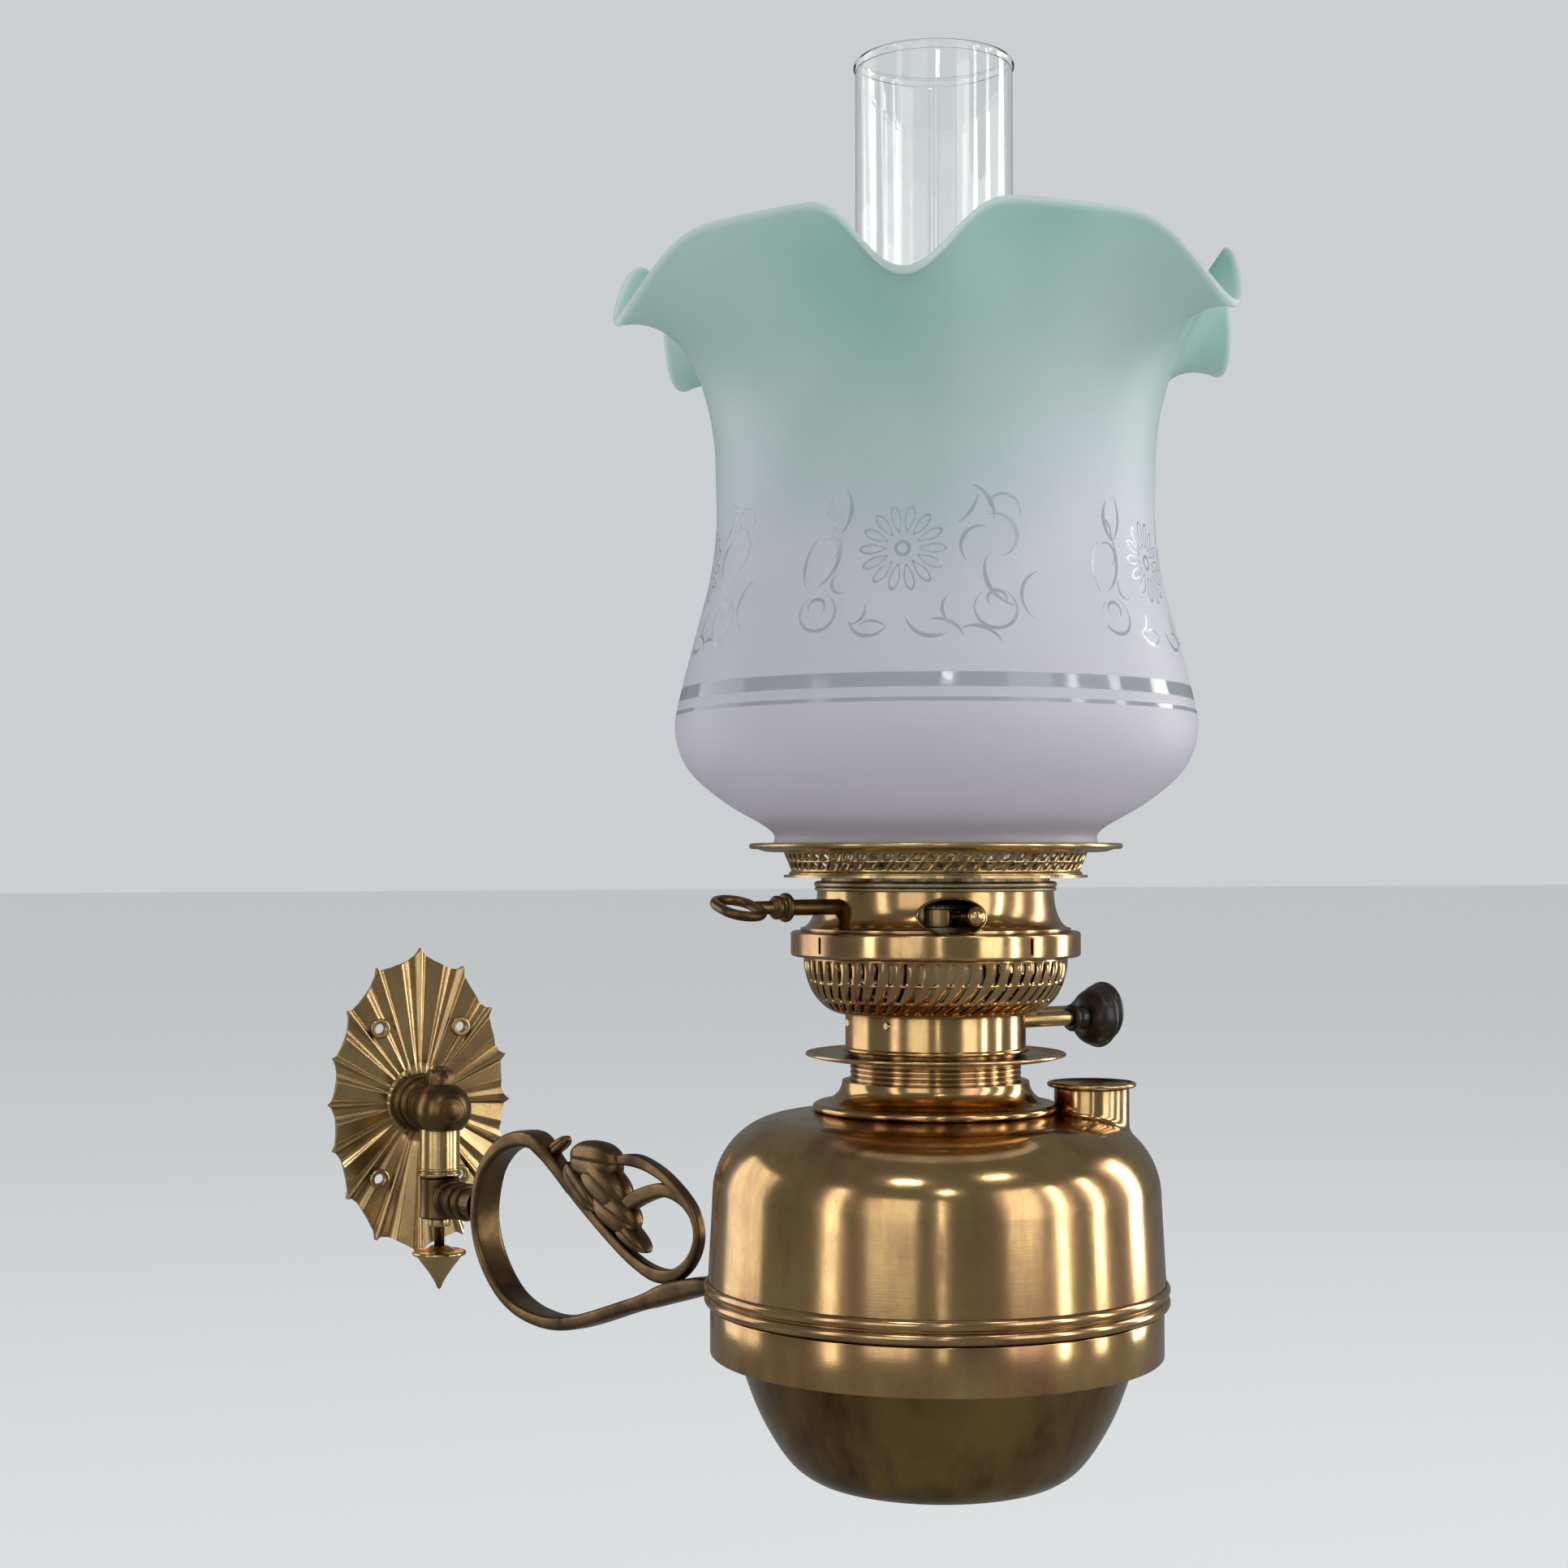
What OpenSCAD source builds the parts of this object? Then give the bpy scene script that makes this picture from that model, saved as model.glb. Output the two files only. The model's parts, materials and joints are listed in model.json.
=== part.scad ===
// Wall oil lamp: a pleated brass wall plate with a swivel, a scroll arm that ends in a ring,
// and an oil font in the ring with a twin-wick burner, a chimney and a ruffled glass shade.
// Millimetres. The wall is the plane Y = 0, the lamp stands out towards -Y, +Z is up,
// and the origin is the centre of the wall plate's back face.

/* [Wall plate] */
// Width of the oval plate across its side tips
plate_w = 76; // [66:1:90]
// Height of the oval plate from its top tip to its bottom tip
plate_h = 126; // [110:1:140]
// Thickness of the plate at its flat hub
hub_t = 3.5; // [3:0.1:5]
// Radius of the flat hub under the boss
hub_r = 13; // [12.5:0.5:15]
// Thickness of the plate at the bottom of a pleat
plate_edge_t = 1.4; // [1:0.1:2]
// Height of the tallest pleat above that
pleat_h = 2.6; // [1:0.1:3.5]
// Number of pointed tips round the plate
plate_tips = 16; // [12:4:20]
// Distance between the screw holes, sideways
hole_dx = 34; // [28:1:40]
// Distance between the screw holes, up and down
hole_dz = 61; // [52:1:68]
// Radius of a screw hole
hole_r = 2.1; // [1.6:0.1:2.6]
// Radius of the round pad at each screw hole
pad_r = 4.1; // [3.6:0.1:5]

/* [Swivel] */
// Distance from the wall to the swivel's upright axis
swivel_out = 30; // [27:1:36]
// Radius of the round flange where the boss meets the plate
boss_r = 12; // [11:0.5:12.5]
// Radius of the ball at the end of the boss
ball_r = 11; // [10:0.5:13]
// How far the ball's centre lies beyond the swivel axis
ball_ahead = 5; // [2:0.5:6]
// Radius of the swivel pin
pin_r = 3; // [2.5:0.1:3.5]
// Width of the square nut across its flats
nut_w = 9; // [8:0.5:11]
// Height of the square nut
nut_h = 6; // [4:0.5:8]
// Radius of the neck under the ball and of the knuckle
neck_r = 8; // [7:0.5:9]
// Length of the neck under the ball
neck_len = 19; // [15:0.5:24]
// Length of the knuckle that turns on the pin
knuckle_len = 16.2; // [14:0.1:20]
// Length of the turned stub that joins the knuckle to the scroll
stub_len = 31; // [27:0.5:36]
// Radius of the washer under the knuckle
washer_r = 4.4; // [4:0.1:6]
// Thickness of the washer
washer_t = 3; // [2:0.1:4]
// Length of thin pin that shows between the washer and the finial
tail_len = 7.7; // [6:0.1:10]
// Radius of the finial's disc
finial_r = 10.75; // [9:0.25:12]
// Length of the finial
finial_len = 17.5; // [15:0.5:22]

/* [Arm] */
// Distance from the swivel axis to the axis of the lamp
arm_reach = 287.5; // [260:0.5:320]
// Angle that the arm is swung to the side at rest
arm_swing = 15; // [0:1:30]
// How far the middle of the ring lies below the stub's axis
arm_drop = 9.9; // [5:0.1:16]
// Height of the carrying ring
ring_h = 14.6; // [12:0.1:18]
// Wall of the carrying ring
ring_wall = 2; // [1.6:0.1:2.6]
// Thickness of the pad that is riveted to the ring
lug_t = 3; // [2.5:0.1:4]
// Width of that pad
lug_w = 26; // [24:1:34]
// Radius of a rivet
rivet_r = 1.6; // [1.2:0.1:2]

/* [Oil font] */
// Radius of the tank at its seam
tank_r = 70.8; // [66:0.1:76]
// How much narrower the tank is at its shoulder
tank_taper = 1.5; // [0.5:0.1:3]
// Height of the tank's side above the seam
tank_side_h = 33.7; // [26:0.1:42]
// Height of the round shoulder
shoulder_h = 24; // [20:0.5:28]
// Width of the round shoulder
shoulder_w = 23.3; // [20:0.1:25]
// Thickness of the tank's sheet brass
tank_wall = 1.2; // [0.8:0.1:1.6]
// Height of the rounded bowl below the ring's top
bowl_h = 52.8; // [46:0.1:60]
// Radius of the bowl's flat foot
foot_r = 36; // [30:1:42]
// Radius of one bead of the double seam
bead_r = 1.9; // [1.5:0.1:2.2]
// Radius of the filler tube
filler_r = 11.6; // [10:0.1:12.5]
// Distance of the filler tube from the lamp's axis
filler_out = 48.5; // [47:0.5:51]
// Direction of the filler tube round the lamp's axis
filler_turn = -40; // [-60:1:-20]
// Height of the filler tube above the crown of the tank
filler_h = 7; // [5:0.5:12]

/* [Burner] */
// Direction of the winders round the lamp's axis
burner_turn = -6; // [-15:1:15]
// Height of the tapering collar on the tank
collar_h = 9.5; // [8:0.1:14]
// Radius of the collar's bottom bead
collar_r = 38.2; // [36:0.1:39]
// Radius of the drip flange
drip_r = 40.5; // [36:0.5:46]
// Height of the screwed part between the collar and the base
ferrule_h = 10.4; // [9:0.1:14]
// Radius of the burner's base
base_r = 28; // [26:0.5:30]
// Height of the burner's base
base_h = 10.1; // [9.5:0.1:14]
// Radius of the pierced basket at its top
basket_r = 41; // [39:0.5:43]
// Height of the pierced basket
basket_h = 17.5; // [15:0.5:22]
// Number of slots in each row of the basket
basket_slots = 54; // [40:1:60]
// Radius of the plain band over the basket
band_r = 45; // [44:0.5:48]
// Height of the plain band
band_h = 8.2; // [6:0.1:10]
// Radius of the burner's neck, where the gallery slides
skirt_neck_r = 36.8; // [36:0.1:38]
// Height of the hollow-sided skirt
skirt_h = 12.2; // [11.5:0.1:16]
// Height of the straight neck over the skirt
skirt_neck_h = 3.3; // [2.5:0.1:5]
// Thickness of the burner's sheet brass
burner_wall = 0.8; // [0.6:0.1:1]
// Direction of the lever's window from the winders
window_turn = -120; // [-135:1:-110]
// Width of the lever's window
window_w = 20; // [19:0.5:22]
// Height of the lever's window
window_h = 10; // [9.6:0.1:10.6]

/* [Wicks and winders] */
// Width of a wick
wick_w = 25; // [22:0.5:26]
// Thickness of a wick
wick_t = 2.6; // [2:0.1:3]
// Distance between the middles of the wicks
wick_gap = 10; // [9:0.5:11]
// Height of the wick tubes above the burner's neck
tube_top = 10.8; // [9:0.1:12]
// Distance between the two winder shafts
shaft_gap = 20; // [19:0.5:22]
// Radius of a winder shaft outside the burner
shaft_r = 2.4; // [2:0.1:2.8]
// Radius of a winder knob
knob_r = 9.8; // [8:0.1:10]
// Distance from the axis to the front of the near knob
knob_out = 60; // [56:1:66]
// How much longer the far winder is
knob_stagger = 20; // [16:1:26]

/* [Gallery] */
// Radius of the gallery's pierced ring
lattice_r = 48; // [46:0.5:50]
// Height of the gallery's pierced ring
lattice_h = 7; // [6:0.1:9]
// Number of holes in the pierced ring
lattice_holes = 64; // [48:1:72]
// Radius of the gallery's rolled rim
gallery_r = 58; // [55:0.5:62]
// Distance that the key lifts the gallery
gallery_travel = 14; // [10:0.5:15]
// Distance from the axis to the middle of the key's bow
key_out = 73; // [68:1:80]
// Width of the key's bow
bow_w = 19; // [16:0.5:24]
// Length of the key's bow
bow_h = 15; // [13:0.5:20]
// Thickness of the key's wire
bow_t = 3; // [2.2:0.1:3.4]

/* [Glass] */
// Radius of the chimney at its foot
chimney_foot_r = 32; // [31:0.5:33]
// Radius of the chimney's belly
chimney_belly_r = 36; // [34:0.5:38]
// Radius of the chimney's tube
chimney_r = 24.7; // [22:0.1:28]
// Height of the chimney
chimney_h = 255; // [220:1:280]
// Thickness of the chimney's glass
chimney_wall = 1.8; // [1.4:0.1:2.2]
// Radius of the shade where it stands in the gallery
fitter_r = 51; // [50.5:0.1:52]
// Radius of the shade's bulge
bulge_r = 81.1; // [76:0.1:86]
// Radius of the shade's waist
waist_r = 68.2; // [62:0.1:72]
// Height of the shade up to the start of the ruffle
shade_body_h = 118; // [105:1:130]
// Radius of the rim where it dips
dip_r = 104; // [96:1:108]
// Height of a dip in the rim above the start of the ruffle
dip_h = 37.5; // [32:0.5:42]
// Radius of the rim where it peaks
peak_r = 80; // [76:1:88]
// Height of a peak of the rim above the start of the ruffle
peak_h = 63.5; // [56:0.5:70]
// Number of ruffles round the rim
ruffles = 6; // [5:1:8]
// Thickness of the shade's glass
shade_wall = 2.4; // [2:0.1:3]

/* [Clearances] */
// Gap between a lifted part and its seat
seat_gap = 0.3; // [0.2:0.05:0.4]
// Gap between a shaft and its hole
run_gap = 0.05; // [0.03:0.01:0.08]
// Gap between the bowl and the ring round it
bowl_gap = 1.5; // [1:0.1:2]

/* [Hidden] */
$fn = 96;
eps = 0.01;

// Colours of the finishes
old_brass = "#a8823c";
dark_bronze = "#6e5126";
bright_brass = "#b78a3f";
pale_brass = "#bfb48a";
knob_black = "#3a2c24";
cotton = "#e8e2d0";

// Heights of the swivel, from the ball down
ball_out = swivel_out + ball_ahead;
ball_top_z = sqrt(ball_r * ball_r - ball_ahead * ball_ahead) - 0.3;
ball_low_z = -neck_r;
neck_z0 = ball_low_z - neck_len;
knuckle_z1 = neck_z0 - seat_gap;
knuckle_z0 = knuckle_z1 - knuckle_len;
knuckle_mid = (knuckle_z0 + knuckle_z1) / 2;
washer_z1 = knuckle_z0 - seat_gap;
washer_z0 = washer_z1 - washer_t;
finial_z1 = washer_z0 - tail_len;
tail_r = pin_r - 0.95;

// The ring and the scroll
ring_or = tank_r - 0.8;
ring_ir = ring_or - ring_wall;
ring_mid = knuckle_mid - arm_drop;
ring_z0 = ring_mid - ring_h / 2;
ring_z1 = ring_mid + ring_h / 2;
scroll_len = arm_reach - ring_or - stub_len;
rivet_dx = lug_w / 2 - 5;

// Heights of the font, from the seam up
bead_z0 = ring_z1 + seat_gap;
bead_z1 = bead_z0 + 4 * bead_r;
side_z1 = bead_z0 + tank_side_h;
shoulder_z1 = side_z1 + shoulder_h;
crown_z = shoulder_z1 + 1.5;
foot_z = ring_z1 - bowl_h;
shoulder_r = tank_r - tank_taper - shoulder_w;
lid_z = crown_z + filler_h + seat_gap;

// Heights of the burner
collar_z1 = crown_z + collar_h;
base_z0 = collar_z1 + ferrule_h;
base_z1 = base_z0 + base_h;
basket_z1 = base_z1 + basket_h;
band_z1 = basket_z1 + band_h;
skirt_z1 = band_z1 + skirt_h;
skirt_neck_z1 = skirt_z1 + skirt_neck_h;
ferrule_r = base_r - 1.5;
mouth_r = ferrule_r - 2;

// Wicks, their tubes and the winders
tube_play = 0.3;
tube_wall = 0.5;
tube_w = wick_w + 2 * (tube_play + tube_wall);
tube_t = wick_t + 2 * (tube_play + tube_wall);
tube_z0 = crown_z - 13.5;
tube_z1 = skirt_neck_z1 + tube_top;
wick_z0 = foot_z + tank_wall + 9;
wick_z1 = tube_z1 + 1.5;
shaft_z = base_z0 + 7.6;
inner_shaft_r = shaft_r / 2;
wheel_r = shaft_gap / 2 - wick_gap / 2 - wick_t / 2 - 0.3;
wheel_w = 8;
knob_len = 14;

// The extinguisher: a plate, a turning ring with its lever, and the sleeve that it lifts
cam_ir = norm([tube_w / 2 + 1, wick_gap / 2 + tube_t / 2 + 1]) + 1.2;
cam_or = cam_ir + 2;
plate_z1 = band_z1 + 1.5;
cam_z0 = plate_z1 + seat_gap;
cam_z1 = cam_z0 + 5;
lever_z = band_z1 + 5.2;
lever_turn = window_turn + 9;
lever_ball_r = 2.9;
lever_ball_out = skirt_neck_r + 5.2;
sleeve_z0 = cam_z1 + seat_gap;
sleeve_z1 = sleeve_z0 + 11.7;

// The gallery
floor_z0 = skirt_neck_z1 + 1.1;
floor_z1 = floor_z0 + 0.8;
slide_or = skirt_neck_r - burner_wall - 0.5;
slide_ir = slide_or - 1;
slide_z0 = skirt_neck_z1 - 2.7 - gallery_travel;
slide_z1 = skirt_neck_z1 - 4.7;
lattice_z1 = floor_z1 + lattice_h;
shade_seat_z = lattice_z1 + 0.7;
rack_teeth = 9;
pinion_teeth = 10;
pinion_pitch_r = 4.5;
tooth_pitch = 2 * PI * pinion_pitch_r / pinion_teeth;
key_z = band_z1 + 7.8;
key_shaft_r = 1.6;
pinion_out = slide_ir - 5.7;
pinion_w = 5;
bush_out = key_out - bow_h / 2 - bow_t - 7.7;
bow_tilt = 17;

// The glass
chimney_z0 = floor_z1 + seat_gap;
belly_z = chimney_z0 + 28;
tube_start_z = chimney_z0 + 70;
shade_z0 = shade_seat_z + seat_gap + 0.1;
ruffle_z = shade_z0 + shade_body_h;
dip_turn = 39;
shade_cols = 12 * ruffles;

// Points of an arc or of a stretch of an ellipse
function arc(cx, cy, rx, ry, a0, a1, n = 8) =
    [for (i = [0:n]) let (a = a0 + (a1 - a0) * i / n) [cx + rx * cos(a), cy + ry * sin(a)]];

function unit(v) = v / norm(v);

// Direction across a polyline at point i, to the left of its run
function across(p, i) =
    let (a = p[max(i - 1, 0)], b = p[min(i + 1, len(p) - 1)], t = unit([b[0] - a[0], b[1] - a[1]]))
    [-t[1], t[0]];

// Closed outline of a sheet of thickness t on the left of the polyline p
function sheet(p, t) =
    concat(p, [for (i = [len(p) - 1:-1:0]) let (q = p[i] + t * across(p, i)) [max(q[0], 0), q[1]]]);

// Smooth curve through the points p, with n steps between two of them
function smooth(p, n) = [
    for (i = [0:len(p) - 2]) for (k = [0:n - 1])
        let (a = p[max(i - 1, 0)], b = p[i], c = p[i + 1], d = p[min(i + 2, len(p) - 1)], t = k / n)
        0.5 * (2 * b + t * (c - a) + t * t * (2 * a - 5 * b + 4 * c - d)
            + t * t * t * (3 * b - a - 3 * c + d)),
    p[len(p) - 1]
];

// Triangles of a skin over rings of n points, capped at both ends or joined into a loop
function skin_faces(rings, n, looped) = [
    for (i = [0:rings - (looped ? 1 : 2)]) for (j = [0:n - 1])
        let (k = (i + 1) % rings, m = (j + 1) % n)
        each [[i * n + j, i * n + m, k * n + m], [i * n + j, k * n + m, k * n + j]],
    if (!looped) [for (j = [n - 1:-1:0]) j],
    if (!looped) [for (j = [0:n - 1]) (rings - 1) * n + j]
];

module skin(rings, looped = false) {
    points = [for (ring = rings) each ring];
    polyhedron(points, skin_faces(len(rings), len(rings[0]), looped), convexity = 8);
}

// Revolved outline
module turned(outline) { rotate_extrude(convexity = 6) polygon(outline); }

// Plain ring between two radii and two heights
module hoop(r_in, r_out, z0, z1) { turned([[r_in, z0], [r_out, z0], [r_out, z1], [r_in, z1]]); }

module at_arm() { translate([0, -swivel_out, 0]) rotate([0, 0, arm_swing]) children(); }
module at_lamp() { at_arm() translate([0, -arm_reach, 0]) children(); }
module at_burner() { at_lamp() rotate([0, 0, burner_turn]) children(); }

// Cylinder that lies along X
module rod_x(r, x0, x1) { translate([x0, 0, 0]) rotate([0, 90, 0]) cylinder(r = r, h = x1 - x0); }

// Wall plate

// One pleat, as share of a sector, share of the pleat height and share of the full radius
pleat = [[0, 1, 1], [0.1, 0.1, 0.955], [0.32, 0.45, 0.93], [0.55, 0.8, 0.925], [0.72, 0.15, 0.925],
    [0.9, 0.25, 0.955]];

// Point on the plate's face, q from 0 at the hub to 1 at the edge
function plate_point(tip, fold, q) =
    let (t = (tip + fold[0]) * 360 / plate_tips,
        dir = unit([0.8 * sin(t), cos(t)]),
        edge = fold[2] / norm([dir[0] * 2 / plate_w, dir[1] * 2 / plate_h]),
        r = hub_r + q * (edge - hub_r),
        crown = plate_edge_t + pleat_h * (0.35 * (1 - q) + fold[1] * pow(q, 0.6)))
    [r * dir[0], -(q == 0 ? hub_t : min(crown, hub_t + 0.6)), r * dir[1]];

function plate_ring(q) = [for (tip = [0:plate_tips - 1]) for (fold = pleat) plate_point(tip, fold, q)];

module backplate() {
    front = [for (q = [0, 0.12, 0.4, 0.7, 1]) plate_ring(q)];
    back = [for (p = plate_ring(1)) [p[0], hub_t, p[2]]];
    color(old_brass) difference() {
        union() {
            skin(concat([back], [for (i = [len(front) - 1:-1:0]) front[i]]));
            for (sx = [-1, 1], sz = [-1, 1])
                translate([sx * hole_dx / 2, -plate_edge_t / 2, sz * hole_dz / 2])
                    rotate([90, 0, 0]) cylinder(r = pad_r, h = hub_t + 0.4 - plate_edge_t / 2, $fn = 32);
        }
        for (sx = [-1, 1], sz = [-1, 1])
            translate([sx * hole_dx / 2, 1, sz * hole_dz / 2])
                rotate([90, 0, 0]) cylinder(r = hole_r, h = hub_t + 4, $fn = 32);
        translate([-plate_w, 0, -plate_h]) cube([2 * plate_w, 2 * hub_t, 2 * plate_h]);
    }
}

// Swivel

module wall_boss() {
    neck = ball_r - 3.5;
    join = acos(neck / ball_r);
    outline = concat([[0, hub_t], [boss_r, hub_t], [boss_r, 6]],
        arc(boss_r - 1, 6, 1, 1.2, 0, 90, 4), [[boss_r - 1.6, 8], [boss_r - 1.6, 10.4]],
        [[boss_r - 3.4, 11.6], [boss_r - 3, 13], [boss_r - 3, 16], [neck, 18]],
        arc(0, ball_out, ball_r, ball_r, -join, 62, 16),
        arc(0, ball_out + ball_r - 1.4, 5.6, 1.8, 30, 90, 4));
    color(dark_bronze) difference() {
        rotate([90, 0, 0]) turned(outline);
        translate([-ball_r, -ball_out - ball_r, ball_top_z]) cube([2 * ball_r, 2 * ball_r, ball_r]);
        translate([-ball_r - 1, -ball_out - ball_r, ball_low_z - 2 * ball_r])
            cube([2 * ball_r + 2, ball_out + ball_r - 20, 2 * ball_r]);
        translate([0, -swivel_out, -ball_r]) cylinder(r = pin_r + run_gap, h = 3 * ball_r);
    }
}

module swivel_neck() {
    flare = neck_r + 0.8;
    outline = concat([[pin_r + run_gap, neck_z0], [flare - 0.6, neck_z0]],
        arc(flare - 0.8, neck_z0 + 1, 0.8, 0.8, -60, 60, 4),
        arc(flare - 1.1, neck_z0 + 2.9, 0.8, 0.8, -60, 60, 4),
        [[neck_r, neck_z0 + 4.4], [neck_r, ball_low_z], [pin_r + run_gap, ball_low_z]]);
    color(old_brass) translate([0, -swivel_out, 0]) turned(outline);
}

module swivel_pin() {
    thread_r = pin_r - 0.5;
    outline = [[0, finial_z1 - 4], [tail_r, finial_z1 - 4], [tail_r, washer_z1], [pin_r, washer_z1],
        [pin_r, ball_top_z], [thread_r, ball_top_z], [thread_r, ball_top_z + nut_h + 0.6],
        [thread_r - 0.6, ball_top_z + nut_h + 1.2], [0, ball_top_z + nut_h + 1.2]];
    color(dark_bronze) translate([0, -swivel_out, 0]) turned(outline);
}

module pin_nut() {
    color(dark_bronze) translate([0, -swivel_out, ball_top_z]) difference() {
        intersection() {
            translate([-nut_w / 2, -nut_w / 2, 0]) cube([nut_w, nut_w, nut_h]);
            turned([[0, 0], [nut_w, 0], [nut_w * 0.66, nut_h * 0.8], [nut_w * 0.5, nut_h], [0, nut_h]]);
        }
        translate([0, 0, -1]) cylinder(r = pin_r - 0.5 + run_gap, h = nut_h + 2);
    }
}

module pivot_washer() {
    color(old_brass) translate([0, -swivel_out, 0]) hoop(tail_r + run_gap, washer_r, washer_z0, washer_z1);
}

module finial() {
    disc_z = finial_z1 - 3;
    point = finial_z1 - finial_len;
    outline = concat([[0, point], [0.6, point + 0.4]],
        arc(finial_r - 0.4, point + 1.4, finial_r - 1.2, disc_z - point - 2.4, 175, 98, 10),
        arc(finial_r - 1, disc_z, 1, 1, -60, 60, 5), [[washer_r, finial_z1 - 1], [3, finial_z1]],
        [[tail_r + run_gap, finial_z1], [tail_r + run_gap, finial_z1 - 4.1], [0, finial_z1 - 4.1]]);
    color(old_brass) translate([0, -swivel_out, 0]) turned(outline);
}

// Arm

module knuckle() {
    core = neck_r - 1.8;
    ring = 1.6;
    outline = concat([[0, 0], [core, 0], [core, neck_r - 2]],
        arc(neck_r - ring, neck_r + 0.6, ring, ring, -90, 90, 6), [[core, neck_r + 4.6]],
        arc(neck_r - 2.2, neck_r + 7, 1.6, 1.5, -90, 90, 6), [[core - 0.4, neck_r + 9.8]],
        arc(neck_r - 2.2, neck_r + 12.6, 1.6, 1.5, -90, 90, 6), [[core - 0.2, neck_r + 15.6]],
        [[core + 0.3, stub_len - 1], [0, stub_len - 1]]);
    color(dark_bronze) at_arm() difference() {
        union() {
            turned(concat([[0, knuckle_z0]], arc(neck_r - 0.8, knuckle_z0 + 0.8, 0.8, 0.8, -90, 0, 3),
                arc(neck_r - 0.8, knuckle_z1 - 0.8, 0.8, 0.8, 0, 90, 3), [[0, knuckle_z1]]));
            translate([0, 0, knuckle_mid]) rotate([90, 0, 0]) turned(outline);
        }
        translate([0, 0, knuckle_z0 - 1]) cylinder(r = pin_r + run_gap, h = knuckle_len + 2);
    }
}

// Scroll outlines, from the ring inwards: share of the scroll's length, rise above the line from
// the stub to the ring, width and thickness of the strap
main_bar = [[0.992, 0, 10, 5], [0.885, -1.3, 10, 5], [0.756, -5.3, 10, 5], [0.536, -19.6, 10, 5],
    [0.343, -32.7, 10, 5.2], [0.22, -35.2, 11, 5], [0.118, -30.9, 11.5, 4.6], [0.043, -19.2, 12, 4.3],
    [0.011, -4.5, 12, 4.2], [0.027, 11.7, 12, 4.5], [0.07, 22.1, 11, 5.5], [0.129, 28.7, 10, 6.3],
    [0.209, 30.5, 9, 6.3], [0.273, 23.6, 6.5, 5.5]];
small_loop = [[0.209, 30.5, 8.5, 6.3], [0.273, 23.6, 6.5, 5.5], [0.365, 11.5, 5, 4.6],
    [0.469, 1.2, 4.5, 4.3], [0.542, -4.4, 4.2, 4.2], [0.611, -7.2, 4, 4], [0.67, -4.8, 4, 3.6],
    [0.718, 2.5, 4, 3.5], [0.737, 11.7, 3.6, 3.4], [0.716, 20, 4, 3.5], [0.649, 26, 4, 3.8],
    [0.59, 30.9, 4, 4.2], [0.536, 32.1, 4, 4.5]];

// Place of a scroll point in the arm's plane
function on_arm(share, rise) =
    [stub_len + share * scroll_len, knuckle_mid + rise - arm_drop * share];

// Rounded section of the strap at station i of the run p
function strap_ring(p, i) =
    let (line = [for (q = p) on_arm(q[0], q[1])], n = across(line, i),
        w = p[i][2] / 2, t = p[i][3] / 2, c = 0.3 * t)
    [for (s = [[w, t - c], [w - c, t], [c - w, t], [-w, t - c], [-w, c - t], [c - w, -t], [w - c, -t],
        [w, c - t]]) [s[0], -(line[i][0] + n[0] * s[1]), line[i][1] + n[1] * s[1]]];

module strap(points, steps) {
    run = smooth(points, steps);
    skin([for (i = [len(run) - 1:-1:0]) strap_ring(run, i)]);
}

// Leaf petals over the scroll: root and tip as share and rise, then half widths
petals = [[[0.27, 24], [0.43, 29], 3, 6.5], [[0.36, 30], [0.5, 20], 4, 6], [[0.4, 16], [0.53, 12], 4, 5.5],
    [[0.46, 10], [0.565, 0], 4, 2.2], [[0.5, 27], [0.58, 24], 3, 2.4]];

module petal(root, tip, r0, r1) {
    a = on_arm(root[0], root[1]);
    b = on_arm(tip[0], tip[1]);
    hull() for (p = [[a, r0, 4.4], [b, r1, 5.4]])
        translate([0, -p[0][0], p[0][1]]) rotate([0, 90, 0])
            cylinder(r1 = p[1] * 0.55, r2 = p[1], h = p[2], $fn = 20);
}

module lug() {
    intersection() {
        translate([0, -arm_reach, 0]) hoop(ring_or, ring_or + lug_t, ring_z0, ring_z1);
        translate([-lug_w / 2, -arm_reach, ring_z0 - 1]) cube([lug_w, 2 * ring_or, ring_h + 2]);
    }
}

module rivet_holes(r) {
    for (sx = [-1, 1]) translate([sx * rivet_dx, ring_ir - 8, ring_mid])
        rotate([-90, 0, 0]) cylinder(r = r, h = 24, $fn = 32);
}

module scroll_arm() {
    color(dark_bronze) at_arm() difference() {
        union() {
            strap(main_bar, 4);
            strap(small_loop, 4);
            for (p = petals) petal(p[0], p[1], p[2], p[3]);
            lug();
        }
        translate([0, -arm_reach, 0]) rivet_holes(rivet_r + run_gap);
    }
}

module carrying_ring() {
    bead = 0.9;
    color(bright_brass) at_lamp() difference() {
        turned([[ring_ir, ring_z0 + bead], [ring_ir + 0.4, ring_z0], [ring_or - 0.4, ring_z0],
            [ring_or, ring_z0 + 0.4], [ring_or, ring_z1 - 0.4], [ring_or - 0.4, ring_z1],
            [ring_ir + 0.4, ring_z1], [ring_ir, ring_z1 - 0.4]]);
        rivet_holes(rivet_r + run_gap);
    }
}

module ring_rivets() {
    head = 1.3;
    head_r = 1.8 * rivet_r;
    head_y = sqrt(pow(ring_or + lug_t, 2) - pow(rivet_dx - head_r, 2));
    shank = lug_t + ring_wall + 0.4;
    color(dark_bronze) at_lamp() for (sx = [-1, 1])
        translate([sx * rivet_dx, head_y, ring_mid]) rotate([-90, 0, 0])
            turned(concat([[0, -shank], [rivet_r, -shank], [rivet_r, 0]], arc(0, 0, head_r, head, 0, 90, 6)));
}

// Oil font

// Outside of the tank from its seam to its mouth
tank_line = concat([[tank_r, bead_z0 + tank_wall + eps]],
    arc(shoulder_r, side_z1, shoulder_w, shoulder_h, 0, 90, 12), [[collar_r, crown_z], [mouth_r, crown_z]]);

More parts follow.
